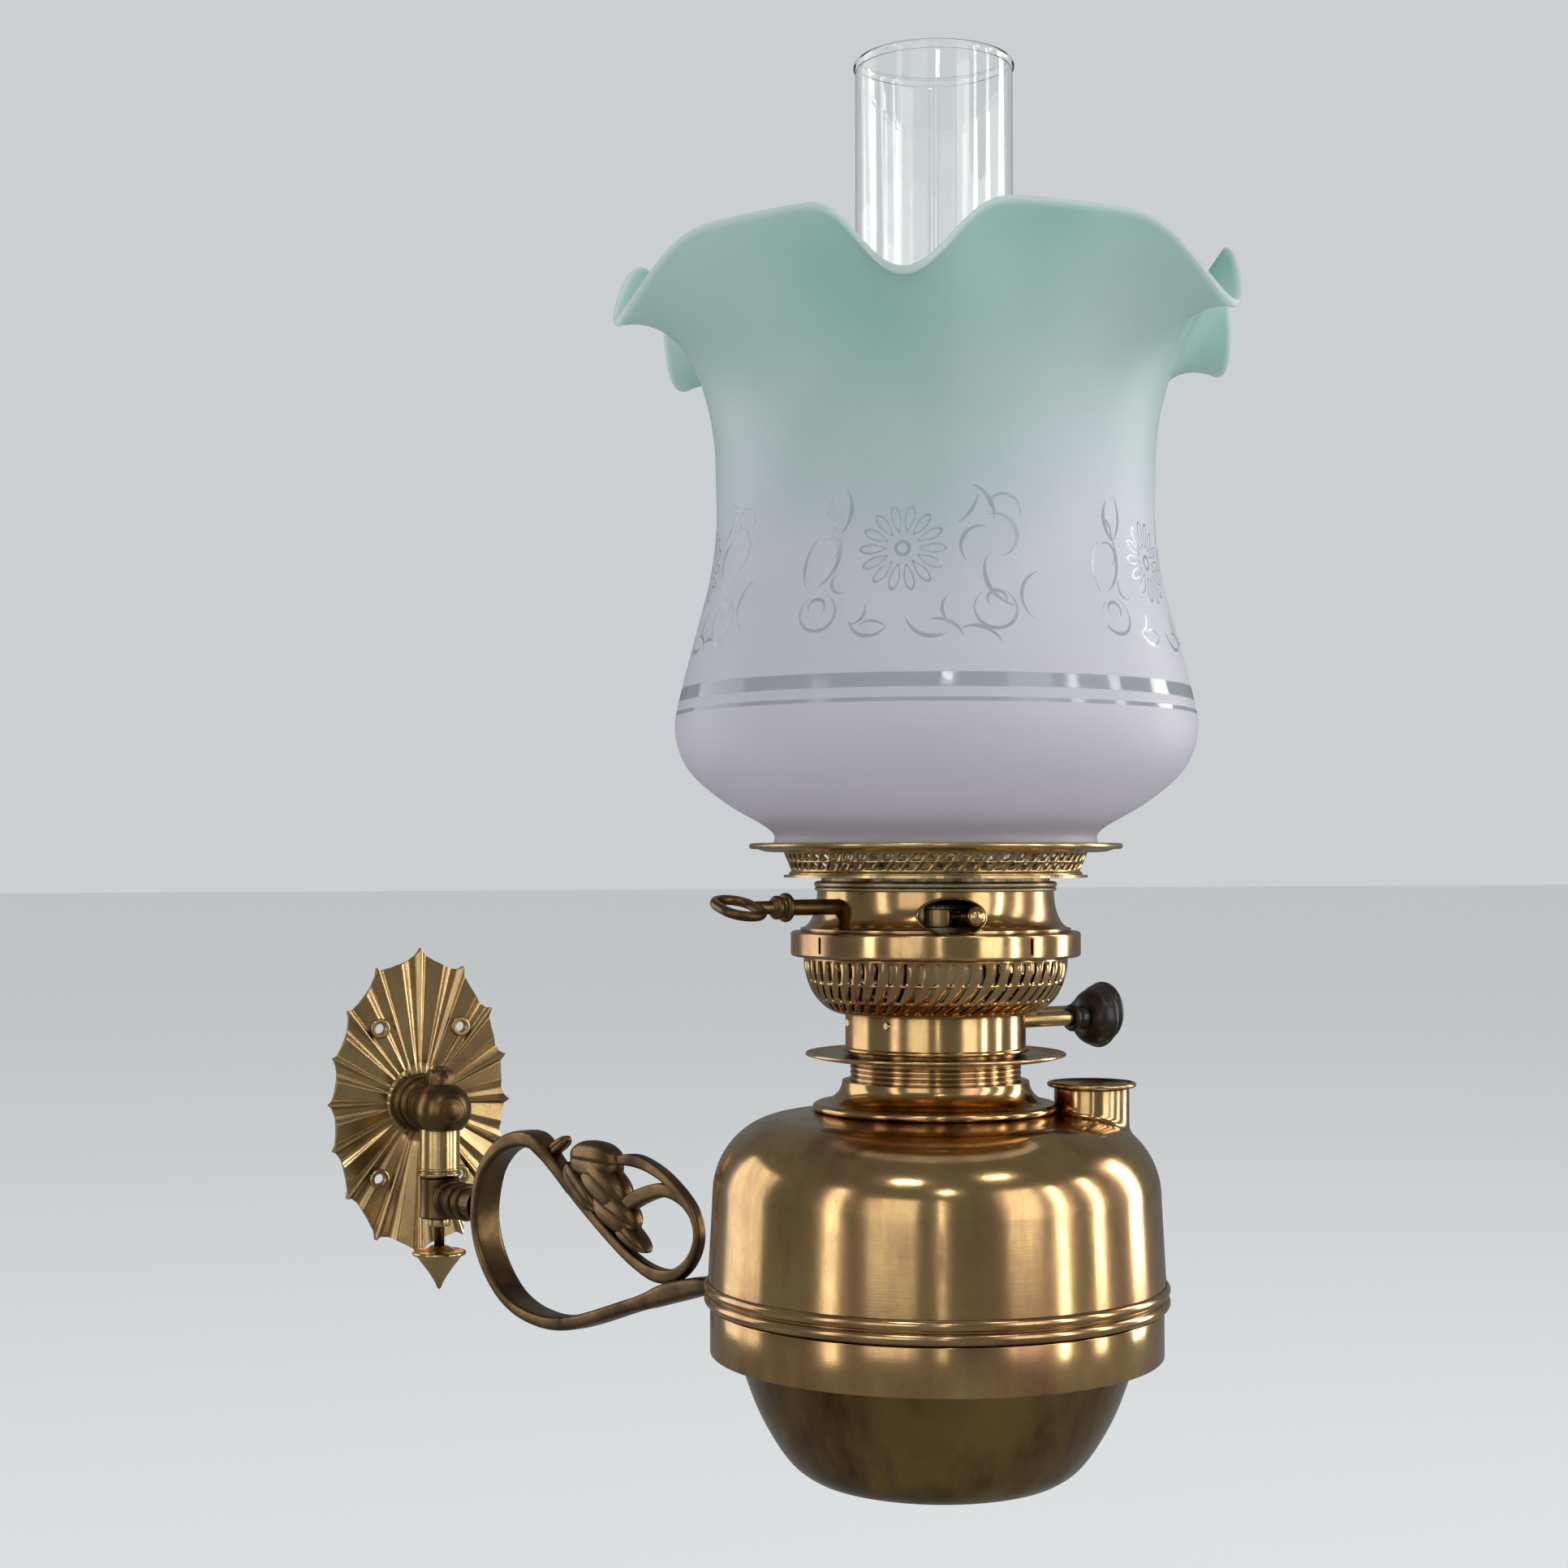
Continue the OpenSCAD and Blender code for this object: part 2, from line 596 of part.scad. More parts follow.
module at_filler() { rotate([0, 0, filler_turn]) translate([filler_out, 0, 0]) children(); }

module tank_shell() {
    color(bright_brass) at_lamp() difference() {
        turned(sheet(tank_line, tank_wall));
        at_filler() translate([0, 0, side_z1]) cylinder(r = filler_r - 1.4, h = shoulder_h + 6);
    }
}

module tank_bead() {
    out = tank_r - 0.8;
    color(bright_brass) at_lamp() turned(concat([[tank_r + run_gap, bead_z0 + 0.2]],
        arc(out, bead_z0 + bead_r, bead_r, bead_r, -62, 62, 8),
        arc(out, bead_z0 + 3 * bead_r, bead_r, bead_r, -62, 62, 8), [[tank_r + run_gap, bead_z1 - 0.2]]));
}

// Outside of the bowl, as shares of the way out from the foot and up to the ring
bowl_shape = [[0, 0], [0.13, 0.026], [0.295, 0.099], [0.459, 0.228], [0.639, 0.426], [0.79, 0.663],
    [0.9, 0.84], [1, 1]];

module tank_bowl() {
    top_r = ring_ir - bowl_gap;
    rise = bowl_h - 2;
    side = smooth([for (p = bowl_shape) [foot_r + p[0] * (top_r - foot_r), foot_z + p[1] * rise]], 2);
    flange = [[top_r + 0.5, ring_z1 - 0.7], [ring_ir + 0.2, bead_z0], [ring_or - 0.2, bead_z0]];
    color(dark_bronze) at_lamp() turned(sheet(concat([[0, foot_z]], side, flange), tank_wall));
}

module neck_collar() {
    color(bright_brass) at_lamp() turned(concat([[mouth_r, crown_z], [collar_r - 1.4, crown_z]],
        arc(collar_r - 1.2, crown_z + 1.2, 1.2, 1.2, -70, 80, 6),
        arc(collar_r - 1.2, collar_z1, 8, collar_h - 2.6, -90, -180, 8), [[mouth_r, collar_z1]]));
}

module filler_neck() {
    color(bright_brass) at_lamp() difference() {
        at_filler() hoop(filler_r - 1, filler_r, side_z1, crown_z + filler_h);
        turned(concat([[0, bead_z0]], tank_line, [[0, crown_z]]));
        translate([0, 0, crown_z - 1]) cylinder(r = collar_r + run_gap, h = collar_h);
    }
}

module filler_cap() {
    plug_r = filler_r - 1 - seat_gap;
    lip_r = filler_r + 2.2;
    color(old_brass) at_lamp() at_filler() turned(concat([[0, lid_z - 4.5], [plug_r - 0.6, lid_z - 4.5],
        [plug_r, lid_z - 4], [plug_r, lid_z], [lip_r - 0.8, lid_z]],
        arc(lip_r - 0.8, lid_z + 0.8, 0.8, 0.8, -60, 120, 6), [[lip_r - 2.4, lid_z + 1.1], [0, lid_z + 1.1]]));
}

// Burner

module drip_flange() {
    color(old_brass) at_lamp() turned(sheet([[ferrule_r + run_gap, base_z0 - 3.4],
        [ferrule_r + 3, base_z0 - 4], [drip_r - 4, base_z0 - 3.6], [drip_r, base_z0 - 2.6]], 0.9));
}

module burner_base() {
    plug_r = mouth_r - run_gap;
    bore_r = mouth_r - 1.6;
    grooves = [for (k = [1:3]) each [[ferrule_r, collar_z1 + 1.6 * k - 0.4],
        [ferrule_r - 0.5, collar_z1 + 1.6 * k], [ferrule_r, collar_z1 + 1.6 * k + 0.4]]];
    outline = concat([[bore_r, crown_z + 1], [plug_r, crown_z + 1], [plug_r, collar_z1],
        [ferrule_r, collar_z1]], grooves, [[ferrule_r, base_z0 - 1.4]],
        arc(base_r + 0.3, base_z0 - 0.7, 0.7, 0.7, -80, 80, 6),
        [[base_r, base_z0], [base_r, base_z1], [base_r - 1, base_z1], [base_r - 1, base_z0 + 0.4],
        [bore_r, base_z0 + 0.4]]);
    color(bright_brass) at_burner() difference() {
        turned(outline);
        for (side = [-1, 1]) translate([0, side * shaft_gap / 2, shaft_z]) {
            rod_x(shaft_r + run_gap, 12, base_r + 6);
            rod_x(inner_shaft_r + run_gap, -base_r - 6, -12);
        }
    }
}

// Upright slots for the two wick tubes, with some play round each
module tube_slots(play, z0, z1) {
    for (side = [-1, 1])
        translate([-tube_w / 2 - play, side * wick_gap / 2 - tube_t / 2 - play, z0])
            cube([tube_w + 2 * play, tube_t + 2 * play, z1 - z0]);
}

module burner_floor() {
    color(pale_brass) at_burner() difference() {
        translate([0, 0, base_z0 + 0.4]) cylinder(r = base_r - 1 - run_gap, h = 1);
        tube_slots(run_gap, base_z0, base_z0 + 2);
    }
}

// Rows of slots from the bottom: share of the quarter, width, length and slant of a slot
basket_rows = [[0.34, 1.3, 5, 38], [0.6, 1.5, 5.4, 30], [0.85, 2, 6.4, 8]];

module burner_basket() {
    bulge = basket_r - base_r;
    line = arc(base_r, basket_z1, bulge, basket_h, -90, 0, 10);
    color(bright_brass) at_burner() difference() {
        turned(sheet(line, burner_wall));
        for (row = [0:2], k = [0:basket_slots - 1])
            let (slot = basket_rows[row], a = -90 + 90 * slot[0], r = base_r + bulge * cos(a),
                z = basket_z1 + basket_h * sin(a))
                rotate([0, 0, (k + row / 2) * 360 / basket_slots]) translate([r, 0, z])
                    rotate([-slot[3], -a * 0.8, 0]) cube([5, slot[1], slot[2]], center = true);
    }
}

module burner_band() {
    line = concat([[basket_r - 0.5, basket_z1 + eps], [band_r - 1.2, basket_z1 + 0.4]],
        arc(band_r - 1, basket_z1 + 1.4, 1, 1, -80, 0, 4), arc(band_r - 1, band_z1 - 1, 1, 1, 0, 90, 4),
        [[band_r - 3.2, band_z1]]);
    slot = 5;
    color(bright_brass) at_burner() difference() {
        turned(sheet(line, burner_wall));
        for (k = [0:3]) rotate([0, 0, 90 * k - 88]) translate([band_r, 0, basket_z1 + 4.4])
            cube([4, 1.2, slot], center = true);
    }
}

// Outside of the skirt: a ledge on the band, the hollow side and the neck
skirt_line = concat([[band_r - 3, band_z1 + eps]],
    arc(band_r - 3, skirt_z1, band_r - 3 - skirt_neck_r, skirt_h - 1, -90, -180, 10),
    [[skirt_neck_r, skirt_neck_z1]]);

// Oval prism that points out of the window, grown by g
module window_prism(g) {
    rotate([0, 0, window_turn]) translate([0, 0, lever_z]) rotate([90, 0, 90])
        linear_extrude(height = 2 * band_r)
            polygon([for (t = [0:10:350]) [(window_w / 2 + g) * cos(t), (window_h / 2 + g) * sin(t)]]);
}

module burner_skirt() {
    color(bright_brass) at_burner() difference() {
        turned(sheet(skirt_line, burner_wall));
        window_prism(0.7 + run_gap);
        translate([0, 0, key_z]) rod_x(shaft_r + run_gap, -band_r, -12);
    }
}

module window_eyelet() {
    inner = [for (p = skirt_line) [p[0] - burner_wall - 0.3, p[1]]];
    outer = [for (i = [len(skirt_line) - 1:-1:0]) [skirt_line[i][0] + 0.8, skirt_line[i][1]]];
    color(old_brass) at_burner() intersection() {
        turned(concat(inner, outer));
        difference() { window_prism(0.7); window_prism(0); }
    }
}

module neck_rings() {
    r = skirt_neck_r + run_gap;
    h = skirt_neck_h / 2;
    color(pale_brass) at_burner() turned(concat([[r, skirt_z1 + 0.2]],
        [for (k = [0:1]) each arc(r + 0.2, skirt_z1 + 0.2 + (k + 0.5) * (h - 0.15), 0.6, h / 2 - 0.15, -70, 70, 5)],
        [[r, skirt_neck_z1 - 0.1]]));
}

module key_bush() {
    color(old_brass) at_burner() translate([0, 0, key_z]) difference() {
        rod_x(shaft_r, -bush_out, -slide_ir + 1.4);
        rod_x(key_shaft_r + run_gap, -bush_out - 1, -slide_ir + 3);
    }
}

module wick_tube(side) {
    color(pale_brass) at_burner() translate([0, side * wick_gap / 2, 0]) difference() {
        translate([-tube_w / 2, -tube_t / 2, tube_z0]) cube([tube_w, tube_t, tube_z1 - tube_z0]);
        translate([-tube_w / 2 + tube_wall, -tube_t / 2 + tube_wall, tube_z0 - 1])
            cube([tube_w - 2 * tube_wall, tube_t - 2 * tube_wall, tube_z1 - tube_z0 + 2]);
        translate([-wheel_w / 2 - 0.6, side > 0 ? 0 : -tube_t, shaft_z - wheel_r - 0.6])
            cube([wheel_w + 1.2, tube_t, 2 * wheel_r + 1.2]);
    }
}

module wick(side) {
    color(cotton) at_burner() translate([-wick_w / 2, side * wick_gap / 2 - wick_t / 2, wick_z0])
        cube([wick_w, wick_t, wick_z1 - wick_z0]);
}

// Winders; the far one is longer by knob_stagger

module at_winder(side) { at_burner() translate([0, side * shaft_gap / 2, shaft_z]) children(); }

module winder_shaft(side) {
    front = knob_out + (side > 0 ? knob_stagger : 0) - 6;
    color(old_brass) at_winder(side) union() {
        rod_x(inner_shaft_r, -base_r + 1.4, base_r - 4);
        rod_x(shaft_r, base_r - 4, front);
    }
}

module winder_knob(side) {
    front = knob_out + (side > 0 ? knob_stagger : 0);
    back = front - knob_len;
    hub = shaft_r + run_gap;
    outline = concat([[hub, back], [hub + 1, back]], arc(hub + 1, back + 1.2, 0.9, 1.2, -80, 80, 4),
        [[hub + 0.9, back + 3], [hub + 1.2, back + 5]],
        arc(hub + 1.2, front - 3.2, knob_r - hub - 1.8, 5.6, -90, -8, 6),
        arc(knob_r - 0.9, front - 2.4, 0.9, 1, -60, 80, 5), [[knob_r - 3, front - 0.6], [3, front], [0, front]],
        [[0, front - 5.8], [hub, front - 5.8]]);
    color(knob_black) at_winder(side) rotate([0, 90, 0]) turned(outline);
}

module wick_wheel(side) {
    teeth = 12;
    star = [for (k = [0:2 * teeth - 1]) let (r = k % 2 == 0 ? wheel_r : wheel_r - 0.7, a = 180 * k / teeth)
        [r * cos(a), r * sin(a)]];
    color(pale_brass) at_winder(side) difference() {
        translate([-wheel_w / 2, 0, 0]) rotate([0, 90, 0]) linear_extrude(height = wheel_w) polygon(star);
        rod_x(inner_shaft_r + run_gap, -wheel_w, wheel_w);
    }
}

// Extinguisher

module lever_plate() {
    color(pale_brass) at_burner() difference() {
        translate([0, 0, band_z1]) cylinder(r = cam_or + 2, h = plate_z1 - band_z1);
        tube_slots(run_gap, band_z1 - 1, plate_z1 + 1);
    }
}

module snuffer_lever() {
    color(old_brass) at_burner() union() {
        hoop(cam_ir, cam_or, cam_z0, cam_z1);
        rotate([0, 0, lever_turn]) translate([0, 0, lever_z]) {
            rod_x(1.2, cam_or - 1, lever_ball_out);
            translate([lever_ball_out, 0, 0]) sphere(r = lever_ball_r, $fn = 48);
        }
    }
}

module snuffer_sleeve() {
    block_x = tube_w + 1.8;
    block_y = wick_gap + tube_t + 1.8;
    color(pale_brass) at_burner() difference() {
        union() {
            translate([-block_x / 2, -block_y / 2, sleeve_z0]) cube([block_x, block_y, sleeve_z1 - sleeve_z0]);
            translate([0, 0, sleeve_z0]) cylinder(r = cam_ir + 1, h = 1);
        }
        tube_slots(0.4, sleeve_z0 - 1, sleeve_z1 + 1);
    }
}

// Gallery

module gallery_flange() {
    rim = 0.9;
    color(old_brass) at_burner() union() {
        turned(sheet([[lattice_r - 1.2, lattice_z1], [fitter_r + 2.5, lattice_z1],
            [gallery_r - 1.4, lattice_z1 + 1.5]], shade_seat_z - lattice_z1));
        translate([0, 0, lattice_z1 + 1.9]) rotate_extrude() translate([gallery_r - rim, 0]) circle(r = rim, $fn = 24);
    }
}

module gallery_lattice() {
    mid = (floor_z1 + 1 + lattice_z1) / 2;
    hole = min(PI * lattice_r / lattice_holes - 0.5, (lattice_h - 1) / 4 - 0.2);
    outline = concat([[lattice_r - burner_wall, floor_z0]],
        arc(lattice_r - 0.2, floor_z0 + 1, 1, 1, -80, 80, 6), [[lattice_r, floor_z0 + 2],
        [lattice_r, lattice_z1], [lattice_r - burner_wall, lattice_z1]]);
    color(old_brass) at_burner() difference() {
        turned(outline);
        for (k = [0:lattice_holes - 1], up = [-1, 1])
            rotate([0, 0, (k + up / 4) * 360 / lattice_holes]) translate([0, 0, mid + up * (hole + 0.1)])
                rod_x(hole, lattice_r - 4, lattice_r + 4, $fn = 16);
    }
}

module gallery_floor() {
    air_holes = 30;
    air_r = (lattice_r + slide_or) / 2;
    color(old_brass) at_burner() difference() {
        hoop(cam_or + 1.2, lattice_r - burner_wall, floor_z0, floor_z1);
        for (k = [0:air_holes - 1]) rotate([0, 0, k * 360 / air_holes])
            translate([air_r, 0, floor_z0 - 1]) cylinder(r = 1.9, h = 3, $fn = 24);
    }
}

module gallery_sleeve() {
    key_slot = shaft_r + 1;
    lever_slot = 8;
    color(pale_brass) at_burner() difference() {
        hoop(slide_ir, slide_or, slide_z0, floor_z0);
        translate([-band_r, -key_slot, slide_z0 - 1]) cube([band_r - 12, 2 * key_slot, slide_z1 - slide_z0 + 1]);
        rotate([0, 0, window_turn]) translate([12, -lever_slot, slide_z0 - 1])
            cube([band_r, 2 * lever_slot, slide_z1 - slide_z0 + 1]);
    }
}

module gallery_rack() {
    tip_y = pinion_pitch_r - 0.6;
    root_y = pinion_pitch_r + 0.9;
    back_y = root_y + 2.4;
    low = key_z - (rack_teeth - 3) * tooth_pitch - 1.2;
    color(old_brass) at_burner() translate([-pinion_out, 0, 0]) union() {
        translate([0, root_y, low]) cube([pinion_w - 1, back_y - root_y, floor_z0 - low]);
        for (k = [0:rack_teeth - 2]) translate([0, 0, key_z + (1 - k) * tooth_pitch]) rotate([90, 0, 90])
            linear_extrude(height = pinion_w - 1)
                polygon([[root_y + eps, -0.8], [root_y + eps, 0.8], [tip_y, 0.3], [tip_y, -0.3]]);
    }
}

module chimney_prongs() {
    prong_h = 9;
    prong_w = 7;
    in = chimney_foot_r + seat_gap;
    color(old_brass) at_burner() intersection() {
        turned([[in, floor_z1], [in + 1, floor_z1], [in + 1, floor_z1 + 1], [in + 0.7, floor_z1 + 1.4],
            [in + 0.7, floor_z1 + prong_h - 1], [in + 1.2, floor_z1 + prong_h], [in + 0.5, floor_z1 + prong_h],
            [in, floor_z1 + prong_h - 1]]);
        union() {
            for (k = [0:1]) rotate([0, 0, 45 + 90 * k])
                translate([-band_r, -prong_w / 2, floor_z0]) cube([2 * band_r, prong_w, 2 * prong_h]);
        }
    }
}

module flame_spreader() {
    r = chimney_foot_r - chimney_wall - 1.2;
    dome_h = 17;
    color(old_brass) at_burner() difference() {
        turned(sheet(concat([[r, floor_z1], [r, floor_z1 + 0.6]],
            arc(0, floor_z1 + 0.6, r, dome_h, 8, 90, 12)), 0.6));
        for (side = [-1, 1])
            translate([-wick_w / 2 - 1, side * wick_gap / 2 - wick_t / 2 - 1.9, floor_z1 + 2])
                cube([wick_w + 2, wick_t + 3.8, 2 * dome_h]);
    }
}

module at_key() { at_burner() translate([0, 0, key_z]) children(); }

module key_stem() {
    color(dark_bronze) at_key() rod_x(key_shaft_r, -bush_out - 5, -pinion_out + pinion_w);
}

module key_pinion() {
    root = pinion_pitch_r - 0.9;
    tip = pinion_pitch_r + 0.6;
    teeth = [for (k = [0:pinion_teeth - 1]) let (a = k * 360 / pinion_teeth + 90)
        each [for (p = [[root, -11], [tip, -4], [tip, 4], [root, 11]]) [p[0] * cos(a + p[1]), p[0] * sin(a + p[1])]]];
    color(old_brass) at_key() difference() {
        translate([-pinion_out, 0, 0]) rotate([90, 0, 90]) linear_extrude(height = pinion_w) polygon(teeth);
        rod_x(key_shaft_r + run_gap, -pinion_out - 1, -pinion_out + pinion_w + 1);
    }
}

module key_bow() {
    wire = bow_t / 2;
    bend = bow_h / 2 - wire;
    straight = (bow_w - bow_h) / 2;
    collar = -bush_out - seat_gap;
    color(dark_bronze) at_key() difference() {
        union() {
            rotate([0, -90, 0]) turned(concat([[0, -collar]], arc(3.2, -collar + 1.2, 1.2, 1.2, -90, 90, 6),
                [[2.8, -collar + 3]], arc(2.6, -collar + 4.4, 1, 1.2, -90, 90, 6),
                [[2, -collar + 6.6], [2, key_out - bow_h / 2 + wire], [0, key_out - bow_h / 2 + wire]]));
            translate([-key_out, 0, 0]) rotate([bow_tilt, 0, 0]) {
                for (up = [0, 1]) rotate([0, 0, 180 * up]) translate([0, straight, 0])
                    rotate_extrude(angle = 180) translate([bend, 0]) circle(r = wire, $fn = 32);
                for (sx = [-1, 1]) translate([sx * bend, -straight, 0]) rotate([-90, 0, 0])
                    cylinder(r = wire, h = 2 * straight, $fn = 32);
            }
        }
        rod_x(key_shaft_r + run_gap, -bush_out - 5.2, collar + 1);
    }
}

// Glass

module chimney() {
    foot = chimney_foot_r;
    top = chimney_z0 + chimney_h;
    line = smooth([[foot, chimney_z0 + 9], [foot + 1.6, chimney_z0 + 14], [chimney_belly_r, belly_z],
        [chimney_belly_r - 2, chimney_z0 + 42], [chimney_r + 4, chimney_z0 + 56], [chimney_r + 0.8, tube_start_z],
        [chimney_r, tube_start_z + 12]], 3);
    color("white", 0.3) at_lamp() turned(sheet(concat([[foot, chimney_z0]], line,
        [[chimney_r, top - 2.4], [chimney_r + 0.6, top - 1], [chimney_r + 0.3, top]]), chimney_wall));
}

// Side of the shade under the ruffle: share of the height, and radius
shade_side = [[0, fitter_r], [0.046, fitter_r],
    for (p = [[0.114, 0.442], [0.181, 0.771], [0.241, 0.934], [0.317, 1]])
        [p[0], fitter_r + p[1] * (bulge_r - fitter_r)],
    for (p = [[0.402, 0.876], [0.571, 0.481], [0.707, 0.163], [0.842, 0.01], [1, 0.023]])
        [p[0], waist_r + p[1] * (bulge_r - waist_r)]];

// Outside of the shade in the direction a, from the fitter to the rim
function shade_line(a) =
    let (dip = pow((1 + cos(ruffles * (a - dip_turn))) / 2, 1.8), neck = shade_side[len(shade_side) - 1][1])
    concat([for (p = shade_side) [p[1], shade_z0 + p[0] * shade_body_h]],
        [for (k = [1:6]) let (t = k / 6,
            low = [neck + (dip_r - neck) * (1 - cos(96 * t)) / (1 - cos(96)), dip_h * sin(104 * t) / sin(104)],
            high = [neck + (peak_r - neck) * t * t, peak_h * t])
            [high[0] + dip * (low[0] - high[0]), ruffle_z + high[1] + dip * (low[1] - high[1])]]);

module shade() {
    columns = [for (j = [0:shade_cols - 1]) shade_line(j * 360 / shade_cols)];
    last = len(columns[0]) - 1;
    outer = [for (i = [0:last]) [for (j = [0:shade_cols - 1]) let (a = j * 360 / shade_cols, p = columns[j][i])
        [p[0] * cos(a), p[0] * sin(a), p[1]]]];
    inner = [for (i = [last:-1:0]) [for (j = [0:shade_cols - 1])
        let (a = j * 360 / shade_cols, n = across(columns[j], i), p = columns[j][i] + shade_wall * n)
        [p[0] * cos(a), p[0] * sin(a), i == 0 ? shade_z0 : p[1]]]];
    color("#cfd9e0") at_lamp() skin(concat(outer, inner), looped = true);
}

backplate();
wall_boss();
swivel_neck();
swivel_pin();
pin_nut();
pivot_washer();
finial();
knuckle();
scroll_arm();
carrying_ring();
ring_rivets();
tank_shell();
tank_bead();
tank_bowl();
neck_collar();
filler_neck();
filler_cap();
drip_flange();
burner_base();
burner_floor();
burner_basket();
burner_band();
burner_skirt();
window_eyelet();
neck_rings();
key_bush();
wick_tube(-1);  // wick_tube_near
wick_tube(1);  // wick_tube_far
wick(-1);  // wick_near
wick(1);  // wick_far
winder_shaft(-1);  // winder_shaft_near
winder_shaft(1);  // winder_shaft_far
winder_knob(-1);  // winder_knob_near
winder_knob(1);  // winder_knob_far
wick_wheel(-1);  // wick_wheel_near
wick_wheel(1);  // wick_wheel_far
lever_plate();
snuffer_lever();
snuffer_sleeve();
gallery_flange();
gallery_lattice();
gallery_floor();
gallery_sleeve();
gallery_rack();
chimney_prongs();
flame_spreader();
key_stem();
key_pinion();
key_bow();
chimney();
shade();
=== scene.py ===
import json
import math

import bmesh
import bpy
import numpy as np
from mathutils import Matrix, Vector


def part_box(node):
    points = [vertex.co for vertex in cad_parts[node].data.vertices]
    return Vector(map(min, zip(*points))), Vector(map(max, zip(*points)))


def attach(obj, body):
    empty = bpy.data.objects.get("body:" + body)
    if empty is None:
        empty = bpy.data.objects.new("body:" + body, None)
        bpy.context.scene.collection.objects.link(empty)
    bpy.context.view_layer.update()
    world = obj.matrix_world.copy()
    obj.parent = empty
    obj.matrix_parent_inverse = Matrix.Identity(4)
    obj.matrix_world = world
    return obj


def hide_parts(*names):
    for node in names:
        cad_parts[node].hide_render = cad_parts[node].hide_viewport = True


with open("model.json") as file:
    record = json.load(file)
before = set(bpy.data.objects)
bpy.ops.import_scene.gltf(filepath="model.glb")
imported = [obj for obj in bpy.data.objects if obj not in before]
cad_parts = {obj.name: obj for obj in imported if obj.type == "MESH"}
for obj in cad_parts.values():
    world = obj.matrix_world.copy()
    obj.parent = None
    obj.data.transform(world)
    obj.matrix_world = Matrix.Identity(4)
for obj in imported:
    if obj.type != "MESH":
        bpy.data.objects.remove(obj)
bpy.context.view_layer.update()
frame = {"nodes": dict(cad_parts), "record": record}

print("Frame loaded:", len(frame["nodes"]), "nodes")

bodyOf = {node: body for body, nodes in frame["record"]["behaviour"]["bodies"].items() for node in nodes}
slotOf = {part["node"]: part["material_slot"] for part in frame["record"]["subparts"]}

# Where the lamp stands: its upright axis, and how far the arm is swung
ringLow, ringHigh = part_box("carrying_ring")
pinLow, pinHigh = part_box("swivel_pin")
lampX, lampY = (ringLow.x + ringHigh.x) / 2, (ringLow.y + ringHigh.y) / 2
armX, armY = (pinLow.x + pinHigh.x) / 2, (pinLow.y + pinHigh.y) / 2
armSwing = math.atan2(lampX - armX, armY - lampY)
mm = 0.001

# Camera

view = {
    "place": (-0.2920, -0.9820, 0.0991),   # metres, in the frame
    "pitch": 91.78,                        # degrees, 90 looks level
    "turn": -25.0,
    "lens": 56.39,                         # mm on a 36 mm sensor
}


def makeCamera():
    data = bpy.data.cameras.new("photoCamera")
    data.sensor_width = 36.0
    data.sensor_fit = "HORIZONTAL"
    data.lens = view["lens"]
    data.clip_end = 50.0
    camera = bpy.data.objects.new("photoCamera", data)
    camera.location = view["place"]
    camera.rotation_euler = (math.radians(view["pitch"]), 0.0, math.radians(view["turn"]))
    bpy.context.scene.collection.objects.link(camera)
    bpy.context.scene.camera = camera


makeCamera()
print("Camera placed")

# Material helpers


def feed(tree, socket, value):
    if hasattr(value, "is_output"):
        tree.links.new(value, socket)
    elif isinstance(value, (int, float)):
        socket.default_value = value
    elif value is not None:
        socket.default_value = (*value[:3], 1.0) if len(socket.default_value) == 4 else value


def calc(tree, operation, first, second=None, clamp=False):
    node = tree.nodes.new("ShaderNodeMath")
    node.operation = operation
    node.use_clamp = clamp
    feed(tree, node.inputs[0], first)
    feed(tree, node.inputs[1], second)
    return node.outputs[0]


# Climbs from 0 where the source is at low to 1 where it is at high
def ramp(tree, source, low, high, bottom=0.0, top=1.0):
    node = tree.nodes.new("ShaderNodeMapRange")
    for label, value in (("From Min", low), ("From Max", high), ("To Min", bottom), ("To Max", top)):
        node.inputs[label].default_value = value
    feed(tree, node.inputs["Value"], source)
    return node.outputs["Result"]


def mixColour(tree, amount, first, second):
    node = tree.nodes.new("ShaderNodeMix")
    node.data_type = "RGBA"
    for socket, value in zip((node.inputs[0], node.inputs[6], node.inputs[7]), (amount, first, second)):
        feed(tree, socket, value)
    return node.outputs[2]


# Noise on a vector that is first stretched along its axes
def noise(tree, vector, scale, detail=4.0, rough=0.55, stretch=None):
    if stretch is not None:
        mapping = tree.nodes.new("ShaderNodeMapping")
        mapping.inputs["Scale"].default_value = stretch
        feed(tree, mapping.inputs["Vector"], vector)
        vector = mapping.outputs[0]
    node = tree.nodes.new("ShaderNodeTexNoise")
    for label, value in (("Scale", scale), ("Detail", detail), ("Roughness", rough), ("Vector", vector)):
        feed(tree, node.inputs[label], value)
    return node.outputs["Fac"]


def addBump(tree, shader, height, strength, distance):
    bump = tree.nodes.new("ShaderNodeBump")
    bump.inputs["Strength"].default_value = strength
    bump.inputs["Distance"].default_value = distance
    feed(tree, bump.inputs["Height"], height)
    feed(tree, shader.inputs["Normal"], bump.outputs["Normal"])


def newGroup(name, inputs, outputs):
    tree = bpy.data.node_groups.new(name, "ShaderNodeTree")
    for label, kind, value in inputs:
        socket = tree.interface.new_socket(label, in_out="INPUT", socket_type=kind)
        if value is not None:
            socket.default_value = value
    for label, kind in outputs:
        tree.interface.new_socket(label, in_out="OUTPUT", socket_type=kind)
    return tree, tree.nodes.new("NodeGroupInput").outputs, tree.nodes.new("NodeGroupOutput").inputs


def useGroup(tree, group, **values):
    node = tree.nodes.new("ShaderNodeGroup")
    node.node_tree = group
    for label, value in values.items():
        feed(tree, node.inputs[label], value)
    return node.outputs


